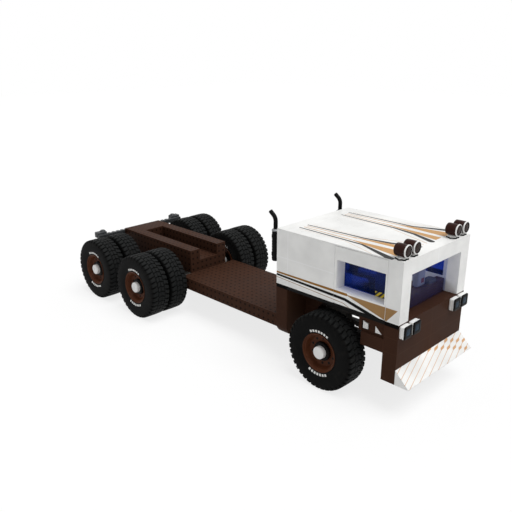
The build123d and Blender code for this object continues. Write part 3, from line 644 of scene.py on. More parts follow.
# plain paints: colour, dust, roughness, edge wear and its colour, then what departs from the defaults
plainPaints = {
    "blackSillBand": ((7, 6, 6), 0.03, 0.55, 0.15, (34, 28, 25), {"gloss": 0.1}),
    "darkFrameSteel": ((38, 37, 38), 0.2, 0.55, 0.4, (98, 92, 86), {"bump": 0.8, "gloss": 0.3}),
    "castMetal": ((58, 56, 54), 0.3, 0.65, 0.4, (120, 112, 104), {"metal": 0.4, "bump": 1.0, "gloss": 0.3}),
    "rimBrownPaint": ((82, 45, 27), 0.03, 0.42, 0.3, (112, 70, 46), {"radius": 0.003, "gloss": 0.08}),
    "hubBlackPaint": ((10, 9, 9), 0.03, 0.35, 0.2, (60, 60, 60), {"radius": 0.002, "gloss": 0.08}),
    "hubCapWhite": ((242, 242, 240), 0.02, 0.28, 0.15, (196, 196, 192), {"radius": 0.003}),
    "lampBrownPaint": ((44, 17, 9), 0.02, 0.35, 0.15, (80, 46, 34), {"radius": 0.003, "gloss": 0.12}),
    "lampBlackFrame": ((8, 8, 9), 0.03, 0.4, 0.2, (40, 40, 42), {"radius": 0.002, "gloss": 0.05}),
    "stackBlack": ((8, 8, 9), 0.03, 0.45, 0.2, (56, 55, 54), {"radius": 0.002, "gloss": 0.08}),
    "stackCapGrey": ((128, 130, 132), 0.1, 0.35, 0.3, (176, 176, 176), {"metal": 0.5, "radius": 0.002}),
    "barDarkGrey": ((56, 58, 60), 0.05, 0.45, 0.5, (120, 122, 126),
                    {"radius": 0.003, "bump": 0.6, "gloss": 0.3}),
    "dashPlastic": ((70, 72, 76), 0.05, 0.6, 0.2, (110, 112, 116), {"bump": 1.0}),
    "dashBrownPlastic": ((72, 52, 46), 0.02, 0.6, 0.1, (100, 78, 68), {"bump": 1.0, "gloss": 0.2}),
    "consoleGrey": ((160, 163, 168), 0.02, 0.5, 0.15, (196, 198, 200), {"bump": 0.6}),
    "panelDarkRed": ((126, 30, 34), 0.05, 0.45, 0.2, (160, 70, 70), {}),
    "wallMarkWhite": ((236, 236, 233), 0.02, 0.5, 0.1, (190, 190, 186), {"radius": 0.001})}
looks = {name: buildPlainPaint(name, *row, **rest) for name, (*row, rest) in plainPaints.items()}
# glass: tint, colour of the gloss and its share; lenses: bowl, painted glint colour of the cells and how many
# cells to a metre
for name, row in {"frontGlass": ((0.84, 0.86, 0.96, 1), (0.03, 0.06, 0.35, 1), 0.03),
                  "sideGlass": ((0.11, 0.19, 0.54, 1), (0.002, 0.025, 0.17, 1), 0.2)}.items():
    looks[name] = buildGlass(name, *row)
for name, row in {"roofLampLens": ((36, 20, 15), (78, 56, 46), 60.0),
                  "headLampLens": ((8, 34, 50), (34, 78, 104), 45.0),
                  "tailLampLens": ((92, 18, 16), (196, 70, 58), 55.0)}.items():
    looks[name] = buildLens(name, *row)
for build in (buildWhiteCab, buildBrownBody, buildWedgeHatch, buildRubber, buildCloth, buildHazard):
    material = build()
    looks[material.name] = material
print("materials:", len(bpy.data.materials))

# the nodes that stay as they are, by their paint
carried = {"darkFrameSteel": ("ladder_frame", "leaf_springs", "drive_shafts"),
           "castMetal": ("front_axle", "knuckle_left", "knuckle_right", "rear_axles", "engine"),
           "brownBodyPaint": ("deck", "rear_base", "rear_rails", "nose_panel", "side_steps", "rear_block",
                              "cab_floor"),
           "whiteCabPaint": ("front_frame", "corner_panels", "rear_wall", "roof", "door_left", "door_right"),
           "wedgeHatchPaint": ("wedge_bumper",), "blackSillBand": ("side_bands",),
           "frontGlass": ("windshield",), "sideGlass": ("door_glass_left", "door_glass_right"),
           "dashBrownPlastic": ("dashboard",)}
for look, names in carried.items():
    for name in names:
        mesh = nodes[name].data
        mesh.materials.clear()
        mesh.materials.append(looks[look])
print("nodes painted:", sum(len(names) for names in carried.values()))

# tyres: a closed cross-section turned about the axle, with four rows of lugs and plain bars on the walls
# corner, edges and lug shares describe half the tread, and a share of -1 marks a groove all round
tyre = {"radius": 0.6735, "half": 0.219, "bead": 0.3445, "shoulder": 0.63, "bulge": 0.025, "bulgeFrom": 0.25,
        "bulgeRun": 2.2, "lugs": 40, "depth": 0.03, "slant": 0.35, "slantEnd": 0.17, "barLow": 0.368,
        "barHigh": 0.41, "bars": 7, "arc": 60.0, "barShare": 0.32, "greyFrom": 0.646, "greyRun": 0.02,
        "corner": 0.172, "cornerWide": 0.036, "cornerHigh": 0.0405, "cornerTurn": (10, 32, 54, 72, 88),
        "edges": (0.118, 0.086, 0.081, 0.075, 0.070, 0.038, 0.006, 0.001),
        "lugShare": (1, 1, -1, -1, 1, 1, 1, -1), "crown": 0.003, "crownReach": 0.15, "groove": 0.7,
        "rowEdge": 0.078, "outer": 0.16, "opening": 0.1, "outerOpening": 0.2, "fade": 0.045,
        "places": (0.055, 0.1, 0.155, 0.2, 0.4, 0.445, 0.555, 0.6, 0.8, 0.845, 0.9, 0.945)}


def wallPlace(radius):
    # from the bead the wall leans out to its widest place and in again to the shoulder, along part of a sine
    share = (np.asarray(radius) - tyre["bead"]) / (tyre["shoulder"] - tyre["bead"])
    return tyre["half"] - tyre["bulge"] + tyre["bulge"] * np.sin(tyre["bulgeFrom"] + tyre["bulgeRun"] * share)


def tyreSection():
    # rows of (place across, radius, share of the lug depth): wall, rounded shoulder, then half the tread
    rise = np.linspace(tyre["bead"], tyre["shoulder"], 7)
    wall = np.stack([wallPlace(rise), rise, [0, 0, 0, 0, 0, 0, 0.6]], -1)
    turn = np.radians(tyre["cornerTurn"])
    shoulder = np.stack([tyre["corner"] + tyre["cornerWide"] * np.cos(turn),
                         tyre["shoulder"] + tyre["cornerHigh"] * np.sin(turn), [0.9, 1, 1, 1, 1]], -1)
    edges = np.array(tyre["edges"])
    crown = tyre["radius"] - tyre["crown"] * (edges / tyre["crownReach"]) ** 2
    half = np.concatenate([wall, shoulder, np.stack([edges, crown, tyre["lugShare"]], -1)])
    return np.concatenate([half, half[::-1] * (-1, 1, 1)])


def tyreSurface(centreX, centreY):
    # radius = section radius less the lug depth near a row's cross groove; rows are staggered and slanted
    across, radius, share = tyreSection().T
    place, lugs = np.array(tyre["places"]), tyre["lugs"]
    turn = ((np.arange(lugs)[:, None] + place) / lugs * 2 * np.pi).reshape(-1, 1)
    stagger = np.where(np.abs(across) > tyre["rowEdge"], 0.0, 0.5)
    spot = np.abs((np.tile(place, lugs)[:, None] + stagger + 0.5) % 1.0 - 0.5)
    # half width of the cross groove, wider at the shoulders
    opening = np.where(np.abs(across) > tyre["outer"], tyre["outerOpening"], tyre["opening"])
    cut = np.clip((opening - spot) / tyre["fade"], 0, 1) * share
    radii = radius - tyre["depth"] * np.where(share < 0, tyre["groove"], cut)
    angle = turn + np.minimum(np.abs(across), tyre["slantEnd"]) * tyre["slant"] / tyre["radius"]
    y, z = centreY + radii * np.sin(angle), tyre["radius"] - radii * np.cos(angle)
    return np.stack([centreX + across + 0 * radii, y, z], -1)


def wallBars(centreX, centreY, side):
    # short raised bars: a four-cornered section carried along an arc on the wall, closed at both ends
    low, high = tyre["barLow"], tyre["barHigh"]
    corner, middle = np.array([low, high, high, low]), (low + high) / 2
    opened = np.array([0, 1, 1, 1, 1, 0])[:, None]
    radii = middle + opened * (corner - middle)
    raised = wallPlace(corner) - wallPlace(middle) + np.array([0.003, 0.003, -0.006, -0.006])
    depth = wallPlace(middle) + opened * raised
    step = math.radians(tyre["arc"]) / tyre["bars"]
    spots = np.array([[0.0], [np.pi]]) + (np.arange(tyre["bars"]) - (tyre["bars"] - 1) / 2) * step
    bars = []
    for spot in spots.ravel():
        turn = (spot + np.array([-1, -1, -0.33, 0.33, 1, 1]) * step * tyre["barShare"])[:, None]
        y, z = centreY + radii * np.sin(turn), tyre["radius"] + radii * np.cos(turn)
        bars.append((np.stack([centreX + side * depth, y, z], -1), False, True, 1))
    return bars


def makeTyres(node, body, y, places, side):
    surfaces = [(tyreSurface(x, y), True, True, 0) for x in places] + wallBars(places[0], y, side)
    if len(places) > 1:
        surfaces += wallBars(places[1], y, -side)
    piece = makePiece(node + "Piece", surfaces, ("tyreRubber", "wallMarkWhite"), body,
                      (node,), 40.0)
    spots = np.zeros(len(piece.data.vertices) * 3, np.float32)
    piece.data.vertices.foreach_get("co", spots)
    spots = spots.reshape(-1, 3)
    reach = np.hypot(spots[:, 1] - y, spots[:, 2] - tyre["radius"])
    value = np.clip((reach - tyre["greyFrom"]) / tyre["greyRun"], 0, 1).astype(np.float32)
    piece.data.attributes.new("tread", "FLOAT", "POINT").data.foreach_set("value", value)


# rims: ridged lip, deep dish with black cups as painted shade for holes, ribbed black ring and white drum
# cap; twins have a second dish
# profiles are rows of (depth, radius): lip and cap are measured from the wheel's face,
# dish, ring, hole cups and bolts from the dish's floor
rimForm = {"steps": 96, "seat": 0.3433, "back": 0.322, "bore": 0.0708, "ribs": 24, "ribHeight": 0.02,
           "ribFrom": 0.155, "web": 0.11, "collar": 0.088, "plate": 0.025, "capFoot": -0.055,
           "capRadius": 0.11, "boreEnd": -0.041, "collarTop": (0.007, 0.1), "webRadius": 0.3,
           "backEdge": 0.012, "studSteps": 12, "ribPhase": 0.1,
           "lip": [(0.016, 0.3433), (0.010, 0.3425), (0.006, 0.338), (0.008, 0.332), (0.016, 0.328),
                   (0.021, 0.325), (0.023, 0.319), (0.034, 0.315), (0.041, 0.313), (0.045, 0.308),
                   (0.046, 0.301), (0.056, 0.297)],
           "dish": [(-0.04, 0.279), (-0.016, 0.27), (-0.004, 0.26), (0.0, 0.247)],
           "ring": [(0.001, 0.163), (-0.034, 0.165), (-0.046, 0.16), (-0.048, 0.152), (-0.054, 0.15),
                    (-0.06, 0.132)],
           "cap": [(0.02, 0.1095), (0.01, 0.106)], "capTop": [(0.006, 0.098), (0.005, 0.06), (0.005, 0.0)],
           "darkHoleCupsAndBolts": ((10, 0.225, [(0.004, 0.0), (0.004, 0.021), (-0.0022, 0.022), (-0.0026, 0.02),
                                  (-0.0012, 0.0185), (-0.001, 0.0)]),
                     (12, 0.146, [(-0.05, 0.0), (-0.05, 0.0085), (-0.062, 0.0085), (-0.065, 0.006),
                                  (-0.065, 0.0)]))}


def rimSurfaces(side, outerX, innerX, y, face, twin):
    centre = np.array([y, tyre["radius"]])

    def turned(rows, finish, inner=False, ribs=0):
        # a profile of (depth behind the outer or inner face, radius) turned about the axle, wide rows ribbed
        rows = np.asarray(rows, float)
        x = side * (innerX + rows[:, 0]) if inner else side * (outerX - rows[:, 0])
        profile = np.stack([x, rows[:, 1]], -1)
        surface = lathe(profile, (0, y, tyre["radius"]), "x", rimForm["steps"], finish)
        if ribs:
            teeth = np.sign(np.cos(ribs * fullTurn(rimForm["steps"])[:, None] + rimForm["ribPhase"]))
            wave = 1 + rimForm["ribHeight"] * teeth * (rows[:, 1] > rimForm["ribFrom"])
            surface[0][..., 1:] = centre + (surface[0][..., 1:] - centre) * wave[..., None]
        return surface

    def dish(depth, hole):
        return rimForm["lip"] + shift(rimForm["dish"], depth) + [(depth, hole)]

    def ring(depth, hole):
        rows = shift(rimForm["ring"], depth)
        return [(rows[0][0], hole)] + rows + [(rows[-1][0], hole)]

    def drum(depth, hole, top):
        foot = depth + rimForm["capFoot"]
        return [(foot, hole), (foot, rimForm["capRadius"])] + rimForm["cap"] + top

    seat, back, bore = rimForm["seat"], rimForm["back"], rimForm["bore"]
    width, plate, start = outerX - innerX, face + rimForm["plate"], rimForm["lip"][0][0]
    surfaces = [turned(dish(face, 0.0), 0), turned(ring(face, 0.0), 1, ribs=rimForm["ribs"]),
                turned(drum(face, 0.0, rimForm["capTop"]), 2)]
    if twin:
        hole, web = rimForm["collar"], rimForm["web"]
        inside = web + rimForm["plate"]
        top = [rimForm["collarTop"], (rimForm["collarTop"][0], hole), (web + rimForm["capFoot"], hole)]
        surfaces += [turned(dish(web, hole) + [(inside, hole), (inside, rimForm["webRadius"])], 0, True),
                     turned(ring(web, hole), 1, True, rimForm["ribs"]), turned(drum(web, hole, top), 2, True),
                     turned([(start, seat), (width - start, seat)], 0)]
    else:
        end, stub = width - rimForm["backEdge"], face + rimForm["boreEnd"]
        surfaces.append(turned([(start, seat), (end, seat), (end, back), (plate, back),
                                (plate, rimForm["capRadius"]), (plate, bore), (stub, bore), (stub, 0.0)], 0))
    # black cups on the dish's floor stand in for holes as painted shade; the second row is bolts on the ring
    for count, reach, rows in rimForm["darkHoleCupsAndBolts"]:
        rows = np.array(rows)
        profile = np.stack([side * (outerX - face - rows[:, 0]), rows[:, 1]], -1)
        for turn in np.arange(count) / count * 2 * np.pi:
            middle = (0, y + reach * math.sin(turn), tyre["radius"] + reach * math.cos(turn))
            surfaces.append(lathe(profile, middle, "x", rimForm["studSteps"], 1))
    return surfaces


# per axle: place along the truck, inner face, outer face, depth of the dish, twin or single
wheelPlaces = {"front": (-2.63875, 0.785, 1.223, 0.139, False), "mid": (1.94975, 0.785, 1.701, 0.137, True),
               "rear": (3.50675, 0.785, 1.701, 0.137, True)}
for sideName, side in sides.items():
    for axle, (y, innerX, outerX, face, twin) in wheelPlaces.items():
        end = axle + "_" + sideName
        body = ("wheels_" if twin else "wheel_") + end
        places = [side * (outerX - tyre["half"])] + ([side * (innerX + tyre["half"])] if twin else [])
        makeTyres(("tyres_" if twin else "tyre_") + end, body, y, places, side)
        makePiece("rim_" + end + "Piece", rimSurfaces(side, outerX, innerX, y, face, twin),
                  ("rimBrownPaint", "hubBlackPaint", "hubCapWhite"), body,
                  ("rim_" + end,))
print("wheels: 6 bodies")

# lamps: round ones on the roof on scalloped feet, square ones in white housings on the nose
# round profiles are rows of (place behind the front, before the back or above the roof, radius)
lamp = {"xs": (0.625, 0.875, -0.625, -0.875), "roofY": cab["front"] + 0.012,
        "roofBack": cab["front"] + 0.2245, "roofZ": cab["roof"] + 0.1375, "noseY": cab["front"],
        "noseFront": cab["front"] - 0.1, "noseZ": grid["baseZ"] + 0.8825, "half": 0.105, "steps": 56,
        "footSteps": 60, "lobes": 6, "lobeDepth": 0.13, "lobeFrom": 0.04,
        "bowl": [(0.016, 0.0), (0.016, 0.082), (0.003, 0.0845), (0.001, 0.088)],
        "bezel": [(0.001, 0.088), (0.0, 0.092), (0.002, 0.098), (0.010, 0.1005), (0.020, 0.1005),
                  (0.022, 0.098)],
        "shell": [(0.022, 0.098), (0.040, 0.0985), (0.044, 0.096), (0.05, 0.0985)],
        "tail": [(-0.03, 0.0985), (-0.012, 0.094), (-0.003, 0.082), (0.0, 0.06), (0.0, 0.0)],
        "skirt": [(0.0, 0.0), (0.0, 0.092), (0.014, 0.092), (0.018, 0.07), (0.018, 0.0)],
        "collar": [(0.017, 0.0), (0.017, 0.078), (0.028, 0.08), (0.038, 0.074), (0.048, 0.052), (0.056, 0.04),
                   (0.075, 0.036), (0.075, 0.0)],
        "roundLens": [(0.0155, 0.0), (0.0155, 0.080), (0.011, 0.081), (0.006, 0.066), (0.003, 0.04),
                      (0.002, 0.0)],
        "squareLens": [(0.0195, 0.0), (0.0195, 0.079), (0.009, 0.079), (0.006, 0.074), (0.003, 0.05),
                       (0.002, 0.0)]}


def roofLampSurfaces(x):
    f, b, steps = lamp["roofY"], lamp["roofBack"], lamp["steps"]
    middle = (x, 0, lamp["roofZ"])
    shell = shift(lamp["shell"], f) + shift(lamp["tail"], b)
    parts = [lathe(shift(lamp["bowl"], f), middle, "y", steps, 3),
             lathe(shift(lamp["bezel"], f), middle, "y", steps, 1), lathe(shell, middle, "y", steps, 0)]
    # scalloped foot: the radius rides on a six-fold wave, with a dark skirt under a white collar
    foot = np.array([x, (f + b) / 2])
    turn = fullTurn(lamp["footSteps"])[:, None]
    for rows, finish in ((lamp["skirt"], 2), (lamp["collar"], 1)):
        surface = lathe(shift(rows, cab["roof"]), (*foot, 0), "z", lamp["footSteps"], finish)
        share = np.clip((np.array(rows)[None, :, 1] - lamp["lobeFrom"]) / lamp["lobeFrom"], 0, 1)
        wave = 1 + lamp["lobeDepth"] * np.cos(lamp["lobes"] * turn) * share
        surface[0][..., :2] = foot + (surface[0][..., :2] - foot) * wave[..., None]
        parts.append(surface)
    return parts


def squareRings(x, rows, finish, power=9.0, steps=48):
    # superellipse rings of given half size, one per place along the truck
    rows = np.asarray(rows, float)
    sizes = np.repeat(rows[:, 1:2], 2, axis=1)
    return carriedLoop(rows[:, 0], sizes, (x, lamp["noseZ"]), 1, power, steps, finish)


def headLampSurfaces(x):
    f, b, h = lamp["noseFront"], lamp["noseY"], lamp["half"]
    shell = [(b, 0.0), (b, 0.100), (b - 0.012, h), (b - 0.03, h), (b - 0.034, h - 0.008),
             (b - 0.05, h - 0.008), (b - 0.054, h), (f + 0.02, h)]
    frameRows = [(f + 0.02, h), (f + 0.004, h - 0.002), (f, h - 0.008), (f, 0.058), (f + 0.004, 0.054),
                 (f + 0.02, 0.052), (f + 0.02, 0.0)]
    return [squareRings(x, shell, 1), squareRings(x, frameRows, 2)]


housings, lenses = [], []
for x in lamp["xs"]:
    housings += roofLampSurfaces(x) + headLampSurfaces(x)
    lenses.append(lathe(shift(lamp["roundLens"], lamp["roofY"]), (x, 0, lamp["roofZ"]), "y", 48, 0))
    lenses.append(squareRings(x, shift(lamp["squareLens"], lamp["noseFront"]), 1))
makePiece("lampHousings", housings, ("lampBrownPaint", "hubCapWhite", "lampBlackFrame", "lampBlackFrame"),
          "chassis", ("lamps",))
makePiece("lampLenses", lenses, ("roofLampLens", "headLampLens"), "chassis",
          ("lamp_lenses",))
print("lamps: 8")

# exhaust stacks: ribbed muffler, grey cap and a round pipe carried along a bent path
stack = {"x": 0.905, "y": grid["rearY"] + 0.125, "low": cab["floor"] + 0.3625, "high": cab["floor"] + 0.9375,
         "tipY": grid["rearY"] + 0.25, "tipZ": cab["roof"] + 0.2375, "bendZ": cab["roof"] + 0.1375,
         "pipe": 0.038, "wall": 0.005, "steps": 40, "pipeSteps": 28, "ribs": 41, "ribRadius": 0.0635,
         "ribDepth": 0.004, "bend": ((0.0, -0.06), (0.004, 0.008), (0.06, 0.05)), "bendSteps": 14,
         "clamp": 0.05, "clampRadius": 0.069, "clampEdge": 0.006, "clampAt": (0.1, -0.15),
         "ribAt": (0.03, -0.05), "foot": [(0.0, 0.0), (0.0, 0.05), (0.02, 0.063)],
         "neck": [(-0.03, 0.063), (-0.03, 0.0)],
         "cap": [(-0.03, 0.0), (-0.03, 0.066), (-0.01, 0.067), (0.0, 0.058), (0.008, 0.044), (0.008, 0.0)]}


def pipeSurface(x, path, radius, wall, finish):
    # a circle across the path's direction, carried out along the path and back inside the wall
    step = np.gradient(path, axis=0)
    step /= np.linalg.norm(step, axis=1, keepdims=True)
    turn = fullTurn(stack["pipeSteps"])
    side = np.stack([-step[:, 1], step[:, 0]], -1)

    def ring(r):
        flat = path[:, None, :] + r * np.sin(turn)[None, :, None] * side[:, None, :]
        across = x + r * np.broadcast_to(np.cos(turn), flat.shape[:2])
        return np.stack([across, flat[..., 0], flat[..., 1]], -1)

    inside = ring(radius - wall)[::-1]
    plug = np.broadcast_to(inside[-1:].mean(1, keepdims=True), (1, stack["pipeSteps"], 3))
    return (np.concatenate([ring(radius), inside, plug]), False, True, finish)


def stackSurfaces(x):
    middle, steps = (x, stack["y"], 0), stack["steps"]
    first, last = stack["low"] + stack["ribAt"][0], stack["high"] + stack["ribAt"][1]
    ribs = [(z, stack["ribRadius"] - stack["ribDepth"] * (i % 4 == 0))
            for i, z in enumerate(np.linspace(first, last, stack["ribs"]))]
    muffler = shift(stack["foot"], stack["low"]) + ribs + shift(stack["neck"], stack["high"])
    t = np.linspace(0, 1, stack["bendSteps"])[:, None]
    a, c, e = np.array(stack["bend"]) + (stack["y"], stack["bendZ"])
    bend = (1 - t) ** 2 * a + 2 * t * (1 - t) * c + t ** 2 * e
    path = np.concatenate([[[stack["y"], stack["high"]]], bend, [[stack["tipY"], stack["tipZ"]]]])
    parts = [lathe(muffler, middle, "z", steps, 0),
             lathe(shift(stack["cap"], stack["high"]), middle, "z", steps, 1),
             pipeSurface(x, path, stack["pipe"], stack["wall"], 0)]
    wide, band = stack["clamp"], stack["clampRadius"]
    for z in (stack["low"] + stack["clampAt"][0], stack["high"] + stack["clampAt"][1]):
        low, high = (x - wide / 2, grid["rearY"], z), (x + wide / 2, stack["y"], z + wide)
        parts.append(roundedBox(low, high, stack["clampEdge"], 0, axis=1, steps=32))
        parts.append(lathe([(z, 0.0), (z, band), (z + wide, band), (z + wide, 0.0)], middle, "z", steps, 0))
    return parts


makePiece("exhaustStacks", stackSurfaces(stack["x"]) + stackSurfaces(-stack["x"]),
          ("stackBlack", "stackCapGrey"), "chassis", ("exhaust_stacks",))
print("stacks: 2")

# light bar: a beam whose section pinches along its length, a rounded cluster with a top bump at each end
bar = {"half": 1.2125, "y0": 4.01875, "depth": 0.1, "z0": 1.1422, "height": 0.12, "clusterWidth": 0.25,
       "clusterBack": 4.23125, "clusterLow": 1.1722, "clusterTop": 1.3422, "lid": 0.035, "rows": 203,
       "steps": 28, "pinch": 0.2, "pinches": 20, "pinchFrom": 0.35, "lampGap": 0.06,
       "clusterFront": 0.05, "clusterEdge": 0.02, "power": 8.0, "bumpSpot": (0.05, 0.085),
       "bump": [(-0.06, 0.0), (-0.06, 0.07), (-0.03, 0.07), (-0.02, 0.062), (-0.006, 0.05), (0.0, 0.03),
                (0.0, 0.0)],
       "lens": [(-0.024, 0.0), (-0.024, 0.045), (-0.001, 0.043), (0.0, 0.03), (0.0, 0.0)]}
x = np.linspace(-bar["half"], bar["half"], bar["rows"])
pinch = 1 - bar["pinch"] * (np.cos(x / bar["half"] * np.pi * bar["pinches"]) > bar["pinchFrom"])
halves = np.array([bar["depth"], bar["height"]]) / 2
middle = np.array([bar["y0"], bar["z0"]]) + halves
beam = carriedLoop(x, halves * pinch[:, None], middle, 0, bar["power"], bar["steps"], 0)[0]
caps = [np.broadcast_to(beam[[i]].mean(1, keepdims=True), (1, bar["steps"], 3)) for i in (0, -1)]
barParts = [(np.concatenate([caps[0], beam, caps[1]]), False, True, 0)]
back, low, top = bar["clusterBack"], bar["clusterLow"], bar["clusterTop"]
for side in sides.values():
    ends = sorted((side * (bar["half"] - bar["clusterWidth"]), side * bar["half"]))
    centreX = sum(ends) / 2
    near, far = (ends[0], bar["y0"] + bar["clusterFront"], low), (ends[1], back, top - bar["lid"])
    barParts.append(roundedBox(near, far, bar["clusterEdge"], 0, axis=0))
    inward, forward = bar["bumpSpot"]
    barParts.append(lathe(shift(bar["bump"], top), (centreX - side * inward, back - forward, 0), "z", 36, 0))
    for spot in (-bar["lampGap"], bar["lampGap"]):
        middle = (centreX + spot, 0, (low + top - bar["lid"]) / 2)
        barParts.append(lathe(shift(bar["lens"], back), middle, "y", 32, 1))
makePiece("lightBar", barParts, ("barDarkGrey", "tailLampLens"), "chassis",
          ("light_bar",))
print("light bar: 1")

# steering wheel: a ring of round section, three spokes and a column down into the dashboard
helm = {"x": 0.36, "y": cab["inner"] + 0.42, "z": cab["floor"] + 0.3375, "radius": 0.177, "grip": 0.0135,
        "lift": 0.013, "tilt": math.radians(-50.0), "column": 0.33, "spokes": (270.0, 30.0, 150.0),
        "spokeFrom": 0.02, "spokeHalf": (0.017, 0.006), "spokeLift": 0.012, "taper": 0.4,
        "boss": [(-0.03, 0.022), (-0.01, 0.03), (0.018, 0.045), (0.026, 0.04), (0.028, 0.0)]}


def helmSurfaces():
    # ring: a big circle plus a small one across it; tapered spokes and a turned column, all tilted together
    big, small = fullTurn(64)[:, None], fullTurn(16)[None, :]
    reach = helm["radius"] + helm["grip"] * np.cos(small)
    rise = helm["grip"] * np.sin(small) + 0 * big + helm["lift"]
    parts = [(np.stack([reach * np.cos(big), reach * np.sin(big), rise], -1), True, True, 0)]
    t, start = np.linspace(0, 1, 6)[:, None], helm["spokeFrom"]
    loop = roundedLoop(*helm["spokeHalf"], 4.0, 16)
    wide = np.concatenate([[[0.0]], 1 - helm["taper"] * t, [[0.0]]])
    out = np.concatenate([[[start]], start + t * (helm["radius"] - start), [[helm["radius"]]]])
    along, cross = out + 0 * loop[None, :, 0], wide * loop[None, :, 0]
    height = helm["spokeLift"] + wide * loop[None, :, 1]
    for turn in np.radians(helm["spokes"]):
        c, s = np.cos(turn), np.sin(turn)
        spoke = np.stack([along * c - cross * s, along * s + cross * c, height], -1)
        parts.append((spoke, False, True, 0))
    foot = -helm["column"]
    parts.append(lathe([(foot, 0.0), (foot, helm["boss"][0][1])] + helm["boss"], (0, 0, 0), "z", 28, 0))
    c, s = math.cos(helm["tilt"]), math.sin(helm["tilt"])
    tilted = np.array([[1, 0, 0], [0, c, -s], [0, s, c]])
    return [(points @ tilted.T + (helm["x"], helm["y"], helm["z"]), a, b, f) for points, a, b, f in parts]


makePiece("steeringWheel", helmSurfaces(), ("dashPlastic",), "chassis", ("steering_wheel",))

# white panes in the side plates' openings: each outline is drawn in a little and carried across the plate
pane = {"face": 0.956, "back": 0.928, "shrink": 0.94, "low": cab["floor"] - 0.275,
        "outlines": ([(0.42, 0.005), (0.42, 0.135), (0.32, 0.105), (0.32, 0.005)],
                     [(0.1885, 0.0), (0.1885, 0.1225), (0.1200, 0.0615), (0.0550, 0.0)])}
panes = []
for side in sides.values():
    for outline in pane["outlines"]:
        rim = np.array(outline) + (cab["inner"], pane["low"])
        middle = rim.mean(0)
        sizes = np.array([0.0, 1.0, 1.0, 0.0])[:, None, None] * pane["shrink"]
        points = np.zeros((4, len(rim), 3))
        points[..., 0] = side * np.array([pane["back"], pane["back"], pane["face"], pane["face"]])[:, None]
        points[..., 1:] = middle + sizes * (rim - middle)
        panes.append((points, False, True, 0))
makePiece("sidePanes", panes, ("hubCapWhite",), "chassis")

# cab fittings, from the cab's inner front face and floor: low and high corner, edge, finish, axis, steps
origin = np.array([0.0, cab["inner"], cab["floor"]])
cabIn = {"hood": ((0.28, 0.017, 0.2), (0.54, 0.177, 0.285), 0.03, 0, 0, 40),
         "dashStrip": ((-0.735, 0.196, 0.015), (0.735, 0.212, 0.075), 0.004, 1, 0, 24),
         "topStrip": ((-0.72, 0.1, 0.22), (-0.3, 0.19, 0.265), 0.01, 1, 0, 24),
         "console": ((-0.13, 0.427, 0.002), (0.13, 0.797, 0.4), 0.025, 3, 2, 40),
         "dashBox": ((0.03, 0.075, 0.2255), (0.25, 0.19, 0.5), 0.02, 3, 2, 40),
         "redPanel": ((0.12, 0.068, 0.285), (0.2, 0.08, 0.365), 0.003, 2, 1, 32)}
fittings = [roundedBox(origin + low, origin + high, *rest) for low, high, *rest in cabIn.values()]
makePiece("cabFittings", fittings, ("dashPlastic", "hazardBands", "panelDarkRed", "consoleGrey"),
          "chassis")

# banded strips in the lower front corners of the door panes, on the outside of the glass
strip = {"face": 0.7885, "thick": 0.008, "front": cab["inner"] + 0.04, "length": 0.3,
         "low": cab["floor"] + 0.252, "height": 0.085, "edge": 0.002}
for sideName, side in sides.items():
    ends = sorted((side * strip["face"], side * (strip["face"] + strip["thick"])))
    low = (ends[0], strip["front"], strip["low"])
    high = (ends[1], strip["front"] + strip["length"], strip["low"] + strip["height"])
    shape = roundedBox(low, high, strip["edge"], 0, axis=1, steps=32)
    makePiece("paneStrip_" + sideName, [shape], ("hazardBands",), "door_" + sideName)

# seats: crowned pads puffed by a short cloth run, over a plastic pan
seat = {"x": 0.36, "half": 0.23, "y0": grid["rearY"] - 1.4, "y1": grid["rearY"] - 0.85, "floor": cab["floor"],
        "top": cab["floor"] + 0.225, "backTop": cab["floor"] + 0.65, "back": 0.12, "cap": 0.014,
        "cushion": 0.15, "cushionEdge": 0.05, "backEdge": 0.055, "backGap": 0.004, "room": 0.012,
        "panInset": 0.02, "panGap": 0.142, "panEdge": 0.02, "voxel": 0.014, "pressure": 4.0, "frames": 20}


def puffPad(piece):
    # remesh, swell under pressure for a few frames, then cap how far each point went
    scene = bpy.context.scene
    for other in bpy.context.selected_objects:
        other.select_set(False)
    bpy.context.view_layer.objects.active = piece
    piece.select_set(True)
    remesh = piece.modifiers.new("even", "REMESH")
    remesh.mode, remesh.voxel_size = "VOXEL", seat["voxel"]
    bpy.ops.object.modifier_apply(modifier="even")
    start = np.zeros(len(piece.data.vertices) * 3)
    piece.data.vertices.foreach_get("co", start)
    puff = piece.modifiers.new("puff", "CLOTH")
    puff.settings.use_pressure = True
    puff.settings.uniform_pressure_force = seat["pressure"]
    puff.settings.effector_weights.gravity = 0.0
    puff.point_cache.frame_start, puff.point_cache.frame_end = 1, seat["frames"]
    for number in range(1, seat["frames"] + 1):
        scene.frame_set(number)
    bpy.ops.object.modifier_apply(modifier="puff")
    end = np.zeros_like(start)
    piece.data.vertices.foreach_get("co", end)
    move = (end - start).reshape(-1, 3)
    far = np.linalg.norm(move, axis=1, keepdims=True)
    move *= np.minimum(1.0, seat["cap"] / np.maximum(far, 1e-9))
    piece.data.vertices.foreach_set("co", (start.reshape(-1, 3) + move).ravel())
    scene.frame_set(1)
    piece.data.shade_smooth()


def makePad(name, low, high, edge, axis):
    surface = roundedBox(np.array(low) + seat["room"], np.array(high) - seat["room"], edge, 0, axis, steps=64)
    return makePiece(name, [surface], ("greySeatCloth",), "chassis")


